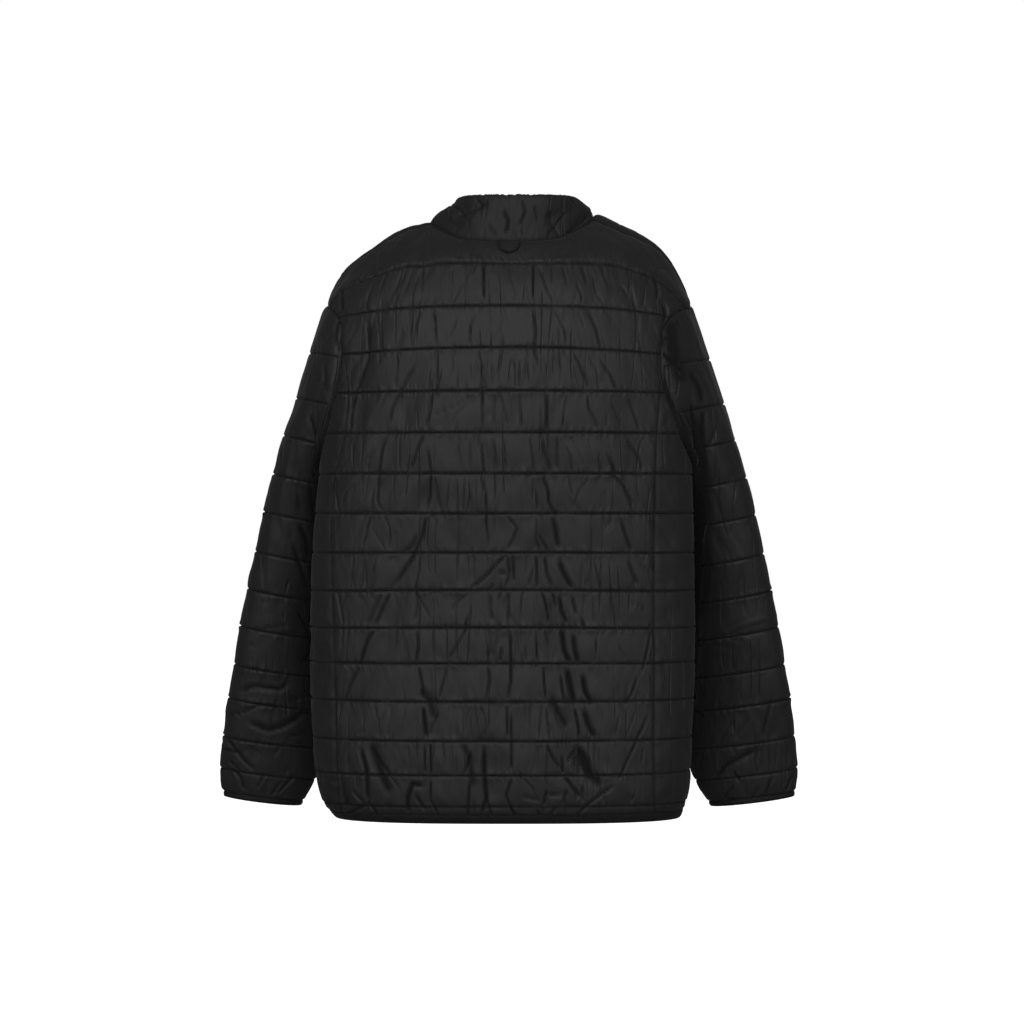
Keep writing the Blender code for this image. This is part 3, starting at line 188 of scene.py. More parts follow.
def through(keys, at):
    table = np.array(keys, float)
    if table[0, 0] > table[-1, 0]:
        table = table[::-1]
    places, values = table[:, 0], table[:, 1:]
    steps = np.diff(values, axis=0) / np.diff(places)[:, None]
    slopes = np.vstack([steps[:1], (steps[1:] + steps[:-1]) / 2, steps[-1:]])
    at = np.clip(np.asarray(at, float), places[0], places[-1])
    k = np.clip(np.searchsorted(places, at, side="right") - 1, 0, len(places) - 2)
    span = (places[k + 1] - places[k])[..., None]
    f = ((at - places[k]) / (places[k + 1] - places[k]))[..., None]
    return curved(f, values[k], span * slopes[k], values[k + 1], span * slopes[k + 1])


def along(points, shares):
    points = np.array(points, float)
    chord = runLength(points)
    dense = through(np.column_stack([chord / chord[-1], points]), np.linspace(0, 1, 400))
    length = runLength(dense)
    return sampled(np.asarray(shares) * length[-1], length, dense)


def unit(vectors):
    return vectors / np.maximum(np.linalg.norm(vectors, axis=-1, keepdims=True), 1e-12)


def smoothStep(value):
    value = np.clip(value, 0, 1)
    return value * value * (3 - 2 * value)


# Steps from 0 to 1 that lie closer together at both ends
def crowded(steps):
    return 0.5 * steps + 0.25 * (1 - np.cos(np.pi * steps))


# The torso's surface. A share runs from the middle of the back, 0, to the middle of the front, 1.
class Body:
    def __init__(self):
        self.levels = np.linspace(bodySections[0][0], bodySections[-1][0], 138)
        turn = np.linspace(0, math.pi, 1200)
        self.shares = np.linspace(0, 1, grain["section"] + 1)
        self.out, self.forward, self.girth = [], [], []
        columns = through(bodySections, self.levels)
        self.sway = columns[:, 1]
        for halfWidth, _, back, front, widest, squareBack, squareFront in columns:
            behind = np.cos(turn) > 0
            power = 2 / np.where(behind, squareBack, squareFront)
            reach = np.where(behind, widest - back, front - widest)
            out = halfWidth * np.abs(np.sin(turn)) ** power
            forward = widest - np.sign(np.cos(turn)) * reach * np.abs(np.cos(turn)) ** power
            run = np.append(0, np.cumsum(np.hypot(np.diff(out), np.diff(forward))))
            self.out.append(np.interp(self.shares, run / run[-1], out))
            self.forward.append(np.interp(self.shares, run / run[-1], forward))
            self.girth.append(run[-1])
        self.out, self.forward = np.array(self.out), np.array(self.forward)
        self.girth = np.array(self.girth)

    def read(self, grid, level, share):
        row = np.clip((self.levels[0] - level) / (self.levels[0] - self.levels[-1]), 0, 1)
        row = row * (len(self.levels) - 1)
        column = np.clip(share, 0, 1) * grain["section"]
        r, c = np.minimum(row.astype(int), len(self.levels) - 2), column.astype(int)
        c = np.minimum(c, grain["section"] - 1)
        fr, fc = row - r, column - c
        return (
            grid[r, c] * (1 - fr) * (1 - fc)
            + grid[r + 1, c] * fr * (1 - fc)
            + grid[r, c + 1] * (1 - fr) * fc
            + grid[r + 1, c + 1] * fr * fc
        )

    def point(self, level, share, side):
        level, share = np.broadcast_arrays(np.asarray(level, float), np.asarray(share, float))
        past = np.where(share > 1, -1.0, 1.0) * np.where(share < 0, -1.0, 1.0)
        near = np.where(share > 1, 2 - share, np.abs(share))
        out = self.read(self.out, level, near)
        forward = self.read(self.forward, level, near)
        sway = np.interp(-level, -self.levels, self.sway)
        return np.stack([side * past * out + sway, forward, level], -1)

    def halfGirth(self, level):
        return np.interp(-np.asarray(level, float), -self.levels, self.girth)

    def outward(self, level, share, side, step=0.004):
        level, share = np.broadcast_arrays(np.asarray(level, float), np.asarray(share, float))
        ds = step / self.halfGirth(level)
        round = self.point(level, share + ds, side) - self.point(level, share - ds, side)
        up = self.point(level + step, share, side) - self.point(level - step, share, side)
        return unit(np.cross(round, up)) * side

    def shareAt(self, grid, level, place):
        found = []
        for oneLevel, one in zip(np.atleast_1d(level), np.atleast_1d(place)):
            row = self.read(grid, np.full(len(self.shares), oneLevel), self.shares)
            top = int(np.argmax(row))
            found.append(np.interp(one, row[: top + 1], self.shares[: top + 1]))
        return np.array(found)


torso = Body()


def rowCoordinates():
    rows = [1.0]
    for line in range(1, len(stitchLines)):
        parts = grain["channel"] if line < len(stitchLines) - 1 else grain["lastChannel"]
        rows += list(line + crowded(np.arange(1, parts + 1) / parts))
    return np.array(rows)


def stitchLine(rows):
    return np.array([np.interp(rows, [r[0] for r in stitchLines], [r[k] for r in stitchLines])
                     for k in (1, 2, 3, 4)])


def edgeLevel(rows):
    level, fall, _, _ = stitchLine(rows)
    return level - fall


def armholeShare(level, branch, sideName):
    keys = [(row[0], row[columnOf[sideName]]) for row in branch]
    return torso.shareAt(torso.forward, level, through(keys, level)[:, 0])


def sideSeamShare(level, sideName):
    keys = [(row[0], row[columnOf[sideName]]) for row in sideSeams]
    seam = torso.shareAt(torso.out, level, through(keys, level)[:, 0])
    underarm = armholeBack[-1][0]
    hole = armholeShare(np.maximum(level, underarm), armholeBack, sideName)
    return np.minimum(seam, hole - seams["sideTopTab"] / torso.halfGirth(level))


def backEdgeShare(rows, sideName):
    level = edgeLevel(rows)
    seam = sideSeamShare(level, sideName)
    hole = armholeShare(level, armholeBack, sideName)
    return np.where(rows >= seams["sideTopRow"], seam, hole)


def foldDepth(points, folds):
    depth = np.zeros(points.shape[:-1])
    flat = points[..., [0, 2]]
    for x0, z0, x1, z1, halfWidth, deep in folds:
        start, run = np.array([x0, z0]), np.array([x1 - x0, z1 - z0])
        share = ((flat - start) @ run) / (run @ run)
        nearest = start + np.clip(share, 0, 1)[..., None] * run
        away = np.linalg.norm(flat - nearest, axis=-1) / halfWidth
        ends = smoothStep((share + 0.15) / 0.3) * smoothStep((1.15 - share) / 0.3)
        depth += deep * ends * np.exp(-(away**2) * 1.5)
    return depth


# Relief of the padded cloth

quilt = {
    "base": 0.0032,  # the wall on a stitch line
    "baseFade": 0.004,  # how far from the panel's top and bottom edges it is reached
    "roll": 0.0010,  # the step up beside a stitch line
    "rollWidth": 0.0013,
    "crest": 0.0010,  # and the further rise to the middle of a channel
    "crestSpacing": 0.045,
    "fullHeight": 0.040,  # a lower channel stands less proud
    "pucker": 0.0023,
    "lean": 0.6,  # how far puckers and gathers may slant
    "leanSpacing": 0.05,
    "patchSpacing": 0.06,  # of the stretches where the puckers are strong
    "tick": 0.45,  # how dark the painted shade in the dip between two puckers is
    "tickWidth": 0.22,
    "tickPeak": 0.0016,
    "puckerSpacing": 0.0046,
    "puckerPeak": 0.0020,
    "gather": 0.0007,
    "gatherSpacing": 0.0140,
    "gatherPeak": 0.0080,
    "slant": 0.35,  # how far a wrinkle leans outward as it falls
    "slantOver": 0.15,
    "wander": 0.007,
    "wanderSpacing": 0.07,
    "wrinkle": 0.0011,
    "wrinkleSpacing": 0.0150,
    "wrinkleWidth": 0.14,
    "wrinklePatch": 0.042,
    "sway": 0.0009,
    "swaySpacing": 0.055,
    "swayHeight": 0.06,
    "dimple": 0.0008,
    "dimpleSpacing": 0.019,
    "dimpleHeight": 0.024,
    "seamPucker": 0.0012,
    "seamSpacing": 0.0075,
    "seamPeak": 0.005,
    "seamSlope": 0.006,
    "topFade": 0.010,  # how far from the top and bottom edges the puckers are at full height
    "bottomFade": 0.006,
    "least": 0.0012,
    "lineWidth": 0.0010,  # of the painted shade, darker and more matt, in the groove that a row of stitches pulls in
    "lineSpacing": 0.012,  # of the stretches where that painted shade is darker
    "foldShade": 420.0,  # how soon a deep fold gets painted shade, turning matt and dark, per metre
}


def hashed(i, j, seed):
    value = np.sin(i * 12.9898 + j * 78.233 + seed * 37.719) * 43758.5453
    return value - np.floor(value)


def noise(x, y, seed, cells=None):
    x, y = np.broadcast_arrays(x, y)
    i, j = np.floor(x), np.floor(y)
    fx, fy = smoothStep(x - i), smoothStep(y - j)
    after = i + 1
    if cells:
        i, after = i % cells, after % cells
    low = hashed(i, j, seed) * (1 - fx) + hashed(after, j, seed) * fx
    high = hashed(i, j + 1, seed) * (1 - fx) + hashed(after, j + 1, seed) * fx
    return 2 * (low * (1 - fy) + high * fy) - 1


def riseAndFall(distance, peak):
    return distance / peak * np.exp(1 - distance / peak)


def lengthsDown(grid):
    drop = np.linalg.norm(np.diff(grid, axis=0), axis=2)
    return np.concatenate([np.zeros((1, grid.shape[1])), np.cumsum(drop, axis=0)])


def lengthsAcross(grid, start):
    step = np.linalg.norm(np.diff(grid, axis=1), axis=2)
    run = np.concatenate([np.zeros((len(grid), 1)), np.cumsum(step, axis=1)], axis=1)
    return run - run[:, start][:, None]


# Thickness added to the stitched wall, and the painted shade there: darker, more matt cloth in the
# stitch grooves, in the dips between puckers and along the side edges. Each stitch line has its own
# puckers, the same above and below it, and each channel its own thin wrinkles. Factors such as 7.3
# on a line's or channel's number only keep their patterns apart.
def padding(grid, rows, along, away, seed, wrap=None, hold=1.0):
    fall = lengthsDown(grid)
    lines = np.array(bandRows(rows))
    channel = np.searchsorted(lines, np.arange(len(rows)), side="right") - 1
    channel = np.clip(channel, 0, len(lines) - 2)
    above = fall - fall[lines[channel]]
    below = fall[lines[channel + 1]] - fall
    height = np.maximum(above + below, 1e-6)
    part = above / height
    near = np.minimum(above, below)
    channel = channel[:, None] + 0.0 * part
    line = channel + (part > 0.5)

    def waves(spacing, across, which, shift=0.0):
        x = along + shift
        if wrap is None:
            return noise(x / spacing, across, seed + which)
        cells = round(wrap / spacing)
        return noise(x / wrap * cells, across, seed + which, cells)

    # the rolls
    low = np.clip(height / quilt["fullHeight"], 0.15, 1.1)
    edge = 1 - hold * (1 - np.clip(away / quilt["seamSlope"], 0, 1) ** 0.5)
    roll = quilt["roll"] * (1 - np.exp(-near / quilt["rollWidth"]))
    crest = 1 + 0.5 * waves(quilt["crestSpacing"], channel * 7.3 + part * 1.4, 1)
    crest = quilt["crest"] * crest
    pad = low * (roll + crest * np.sin(np.pi * np.clip(part, 0, 1)))
    # puckers and gathers along each stitch line, and the painted shade in the dips between puckers
    lean = waves(quilt["leanSpacing"], line * 6.1, 8) * quilt["lean"]
    patch = 0.45 + 0.55 * smoothStep(0.5 + waves(quilt["patchSpacing"], line * 2.3, 9))
    pucker = np.abs(waves(quilt["puckerSpacing"], line * 3.7, 2, near * lean)) ** 0.8
    tick = quilt["tick"] * patch * np.exp(-((pucker / quilt["tickWidth"]) ** 2))
    tick = tick * riseAndFall(near, quilt["tickPeak"])
    pucker = quilt["pucker"] * patch * pucker * riseAndFall(near, quilt["puckerPeak"])
    strength = 0.85 + 0.35 * waves(quilt["lineSpacing"], line * 8.3, 12)
    gather = np.abs(waves(quilt["gatherSpacing"], line * 5.1, 3, near * lean)) ** 0.8
    gather = quilt["gather"] * gather * riseAndFall(near, quilt["gatherPeak"])
    # thin wrinkles down each channel
    wander = quilt["wander"] * waves(quilt["wanderSpacing"], channel * 9.7 + part * 1.7, 10)
    if wrap is None:
        wander = wander - quilt["slant"] * above * np.clip(along / quilt["slantOver"], -1, 1)
    thin = waves(quilt["wrinkleSpacing"], channel * 4.3 + part * 0.55, 4, wander)
    mask = waves(quilt["wrinklePatch"], channel * 2.9 + part * 0.9, 5)
    mask = smoothStep(0.35 + 1.6 * mask)
    wrinkle = np.exp(-((thin / quilt["wrinkleWidth"]) ** 2)) * mask * quilt["wrinkle"]
    wrinkle *= np.sin(np.pi * np.clip(part, 0, 1)) ** 0.35
    # broad unevenness, and puckers along the panel's side edges
    sway = quilt["sway"] * waves(quilt["swaySpacing"], fall / quilt["swayHeight"], 6)
    dimple = quilt["dimple"] * waves(quilt["dimpleSpacing"], fall / quilt["dimpleHeight"], 7)
    sway += dimple * np.clip(near / 0.006, 0, 1)
    seam = np.abs(noise(fall / quilt["seamSpacing"], np.sign(along) * 3.3, seed + 11))
    seam = quilt["seamPucker"] * seam * riseAndFall(away, quilt["seamPeak"])
    # all of it fades towards the top and bottom edges
    toEnd = fall[-1:] - fall
    room = np.clip(low, 0, 1) * np.clip(fall / quilt["topFade"], 0, 1)
    room *= np.clip(toEnd / quilt["bottomFade"], 0, 1)
    base = (quilt["base"] - walls["stitched"]) * np.clip(fall / quilt["baseFade"], 0, 1)
    base = base * np.clip(toEnd / quilt["baseFade"], 0, 1)
    # painted shade along the stitch grooves and the panel's side edges
    line = strength * np.exp(-((near / quilt["lineWidth"]) ** 2)) + tick
    line = np.maximum(line, 0.8 * np.exp(-((away / quilt["lineWidth"]) ** 2)))
    relief = edge * (base + pad + room * (pucker + gather - wrinkle + sway)) + seam * room
    return relief, line


creaseShape = {
    "spread": 1 / 1.4,  # how wide the whole dip is, for a crease's width
    "core": 0.38,  # how wide its sharp bottom is, for the whole dip
    "apron": 0.25,  # how deep the whole dip is, for that bottom
    "shoulder": 0.22,  # how high the cloth swells on each side
    "taper": 0.22,  # the share of its length over which each end fades
    "power": 0.75,
    "depth": 0.94 / 1000,
}


# Where the picture's camera sees a point, in pixels
def seen(points):
    distance = points[..., 1] + pictureFrom["distance"]
    pixel = pictureFrom["pixel"] * distance / pictureFrom["distance"]
    across = (points[..., 0] - pictureFrom["out"]) / pixel
    up = (points[..., 2] - pictureFrom["level"]) / pixel
    return np.stack([pictureFrom["middle"] + across, pictureFrom["middle"] - up], -1)


# How much painted shade, dark and matt, a crease puts on the cloth
def shaded(creases, power=1.6):
    return (np.maximum(creases, 0) * quilt["foldShade"]) ** power


def creaseDepth(grid, creases):
    depth = np.zeros(grid.shape[:-1])
    places = seen(grid)
    for width, deep, *points in creases:
        points = np.array(points, float)
        spread = width * creaseShape["spread"]
        low, high = points.min(axis=0) - 3 * spread, points.max(axis=0) + 3 * spread
        close = ((places > low) & (places < high)).all(axis=-1)
        flat = places[close]
        steps = np.diff(points, axis=0)
        lengths = np.linalg.norm(steps, axis=1)
        total = lengths.sum()
        away = np.full(len(flat), 1e9)
        place = np.zeros(len(flat))
        passed = 0.0
        for start, step, length in zip(points, steps, lengths):
            share = np.clip(((flat - start) @ step) / length**2, 0, 1)
            found = np.linalg.norm(flat - (start + share[..., None] * step), axis=-1)
            closer = found < away
            away = np.where(closer, found, away)
            place = np.where(closer, (passed + share * length) / total, place)
            passed += length
        taper = creaseShape["taper"]
        ends = smoothStep(place / taper + 0.25) * smoothStep((1 - place) / taper + 0.25)
        fold = np.exp(-((away / (creaseShape["core"] * spread)) ** 2))
        fold += creaseShape["apron"] * np.exp(-((away / spread) ** 2))
        fold -= creaseShape["shoulder"] * np.exp(-(((away / spread - 0.9) / 0.45) ** 2))
        deep = math.copysign(abs(deep) ** creaseShape["power"], deep) * creaseShape["depth"]
        depth[close] += deep * ends * fold
    return depth


# Building walls


def mirrored(keys, side):
    points = np.array(keys, float)
    points[:, 0] *= side
    return points


def gridNormals(points, flip):
    down = np.gradient(points, axis=0)
    across = np.gradient(points, axis=1)
    return unit(np.cross(across, down)) * flip


settling = {
    "shoulders": (  # rise, out, width
        (0.0030, 0.120, 0.025), (0.0035, 0.188, 0.022),
        (-0.0030, -0.104, 0.012), (-0.0075, -0.172, 0.032),
    ),
    "above": -0.075,  # the shoulders' rise fades in over the next 70 mm
    "flare": 0.008,  # of the collar's right side
}


# How the worn jacket sits on its shoulders, the same for every piece
def settled(points):
    out, level = points[:, 0], points[:, 2]
    high = smoothStep((level - settling["above"]) / 0.07)
    rise = 0.0
    for height, place, width in settling["shoulders"]:
        rise = rise + height * np.exp(-(((out - place) / width) ** 2))
    flare = smoothStep((out - 0.05) / 0.04) * smoothStep((level - 0.012) / 0.03)
    flare *= smoothStep((0.068 - level) / 0.022) * np.exp(-(((out - 0.09) / 0.035) ** 2))
    flare *= settling["flare"]
    moved = points.copy()
    moved[:, 2] += high * rise
    moved[:, 0] += flare
    return moved


def newObject(name, mesh, materialName):
    if isinstance(mesh, bpy.types.Mesh):
        points = np.empty(3 * len(mesh.vertices))
        mesh.vertices.foreach_get("co", points)
        mesh.vertices.foreach_set("co", settled(points.reshape(-1, 3)).ravel())
    else:
        for point in mesh.splines[0].points:
            point.co = (*settled(np.array([point.co[:3]]))[0], 1.0)
    piece = bpy.data.objects.new(name, mesh)
    mesh.materials.append(materials[materialName])
    jacket.objects.link(piece)
    return piece


def plainIds(rows, columns, closed=False):
    ids = np.arange(rows * columns).reshape(rows, columns)
    if closed:
        ids[:, -1] = ids[:, 0]
    return ids


# A closed wall from its inner and outer points, with the outer face fine and the inner one plain:
# one inner face spans each band of rows. A grid's cells may be left out, and its points joined.
def makeWall(name, inside, outer, bands, materialName, paintedShade, ids=None, used=None, closed=False):
    rows, columns = outer.shape[:2]
    if ids is None:
        ids = plainIds(rows, columns, closed)
        used = np.ones((rows - 1, columns - 1), bool)
    total = int(ids.max()) + 1
    vertices = np.zeros((2 * total, 3))
    vertices[ids] = outer
    vertices[ids + total] = inside
    faces, uses = [], {}

    def addOuter(face):
        faces.append(face)
        for a, b in zip(face, face[1:] + face[:1]):
            uses[(a, b)] = uses.get((a, b), 0) + 1

    for r in range(rows - 1):
        for c in range(columns - 1):
            if not used[r, c]:
                continue
            top = [int(ids[r, c]), int(ids[r, c + 1])]
            addOuter(top + [int(ids[r + 1, c + 1]), int(ids[r + 1, c])])

    def rim(a, b):
        return (a, b) in uses and (b, a) not in uses

    for r0, r1 in zip(bands, bands[1:]):
        for c in range(columns - 1):
            if not used[r0, c]:
                continue
            top = [int(ids[r0, c]), int(ids[r0, c + 1])]
            right = [int(ids[r, c + 1]) for r in range(r0 + 1, r1)]
            left = [int(ids[r, c]) for r in range(r1 - 1, r0, -1)]
            if right and not rim(int(ids[r0, c + 1]), right[0]):
                right = []
            if left and not rim(left[-1], int(ids[r0, c])):
                left = []
            bottom = [int(ids[r1, c + 1]), int(ids[r1, c])]
            face = top + right + bottom + left
            faces.append([v + total for v in reversed(face)])
    for a, b in list(uses):
        if (b, a) not in uses:
            faces.append([b, a, a + total, b + total])
    mesh = bpy.data.meshes.new(name)
    mesh.from_pydata(vertices.tolist(), [], faces)
    # painted shade of each outer point, kept as a point attribute that darkens the cloth's colour;
    # inner points have none
    share = np.zeros(2 * total)
    share[ids] = np.clip(paintedShade, 0, 1)
    mesh.attributes.new("paintedShade", "FLOAT", "POINT").data.foreach_set("value", share)
    work = bmesh.new()
    work.from_mesh(mesh)
    loose = [v for v in work.verts if not v.link_faces]
    bmesh.ops.delete(work, geom=loose, context="VERTS")
    bmesh.ops.recalc_face_normals(work, faces=work.faces)
    work.to_mesh(mesh)
    work.free()
    mesh.shade_smooth()
    mesh.set_sharp_from_angle(angle=math.radians(70))
    return newObject(name, mesh, materialName)


def bandRows(rows):
    return [k for k, row in enumerate(rows) if abs(row - round(row)) < 1e-6]


def topEdge(sideName):
    side = sideOf[sideName]
    shoulder = along(mirrored(shoulderSeam, side), np.linspace(1, 0, shoulderColumns + 1))
    backNeck = along(mirrored(backTop, side), np.linspace(1, 0, grain["neck"] + 1))
    frontNeck = along(mirrored(frontNeckline, side), np.linspace(0, 1, grain["frontNeck"] + 1))
    return shoulder, backNeck, frontNeck


def lappedEnd(frontNeck):
    corner, before = frontNeck[-1], frontNeck[-2]
    step = (before - corner) * np.array([-1.0, 1.0, 1.0])
    return corner + step * (closing["lap"] / abs(step[0])) + np.array([0.0, seams["gap"], 0.0])


def levelOut(directions):
    return unit(directions * np.array([1.0, 1.0, 0.0]))


# Outward and up round the neck
def neckRimDirection(points):
    away = points * np.array([1.0, 1.0, 0.0]) - np.array([0.0, -0.004, 0.0])
    return unit(unit(away) * 0.80 + np.array([0.0, 0.0, 0.60]))


def smoothed(values):
    weights = np.hanning(15)[1:-1]
    weights = weights / weights.sum()
    padded = np.pad(values, ((6, 6), (0, 0)), mode="edge")
    return np.stack([np.convolve(c, weights, mode="valid") for c in padded.T], -1)


# A panel's normals turn to its edge's direction near its top edge
def leanToRim(normals, rim, grid, reach):
    near = smoothStep(1 - lengthsDown(grid) / reach)[..., None]
    return unit(near * rim + (1 - near) * normals)


# Up and outward along a shoulder, leaning back near the neck
def shoulderRimDirection(points):
    side = np.sign(points[:, :1])
    lean = np.clip((np.abs(points[:, :1]) - 0.08) / 0.16, 0, 1)
    back = -0.12 - 0.42 * np.clip(1.6 * (1 - lean) - 0.2, 0, 1)
    return unit(np.hstack([side * (0.25 + 0.65 * lean), back, 0.95 - 0.45 * lean]))


# Which way the cloth leaves the seams along the top
backHeading = (0.0, 0.85, 0.55)
frontHeading = {
    "armhole": (0.0, -0.8, -0.3),
    "shoulderRise": {"left": 0.22, "right": 0.65},  # how steeply it rises past the shoulder seam
    "neckRise": {"left": -0.2, "right": 0.02},  # and past the neck point
    "middle": (0.0, -0.59, 0.81),
}


# The part above the first stitch line, from low to high, which leaves each end in its own way
def crown(low, high, lowWay, highWay, shares, straight):
    f = shares[:, None, None]
    length = np.linalg.norm(high - low, axis=-1, keepdims=True)
    lowWay, highWay = lowWay.copy(), highWay.copy()
    lowWay[straight] = highWay[straight] = unit(low[straight] - high[straight])
    return curved(f, high, highWay * length, low, lowWay * length)


# The largest folds of the back: troughs between two points, out and level at each end.
backFolds = (
    # out, level, to out, to level, half width, depth
    (-0.093, -0.290, -0.150, -0.480, 0.020, 0.0042),
    (-0.150, -0.480, -0.200, -0.575, 0.020, 0.0036),
    (-0.106, -0.150, -0.158, -0.300, 0.018, 0.0030),
    (-0.168, -0.095, -0.186, -0.225, 0.018, 0.0036),
    (0.048, -0.235, 0.066, -0.470, 0.026, 0.0044),
    (0.066, -0.470, 0.092, -0.640, 0.026, 0.0050),
    (0.140, -0.195, 0.158, -0.280, 0.018, 0.0028),
    (-0.028, -0.600, -0.026, -0.690, 0.020, 0.0032),
)
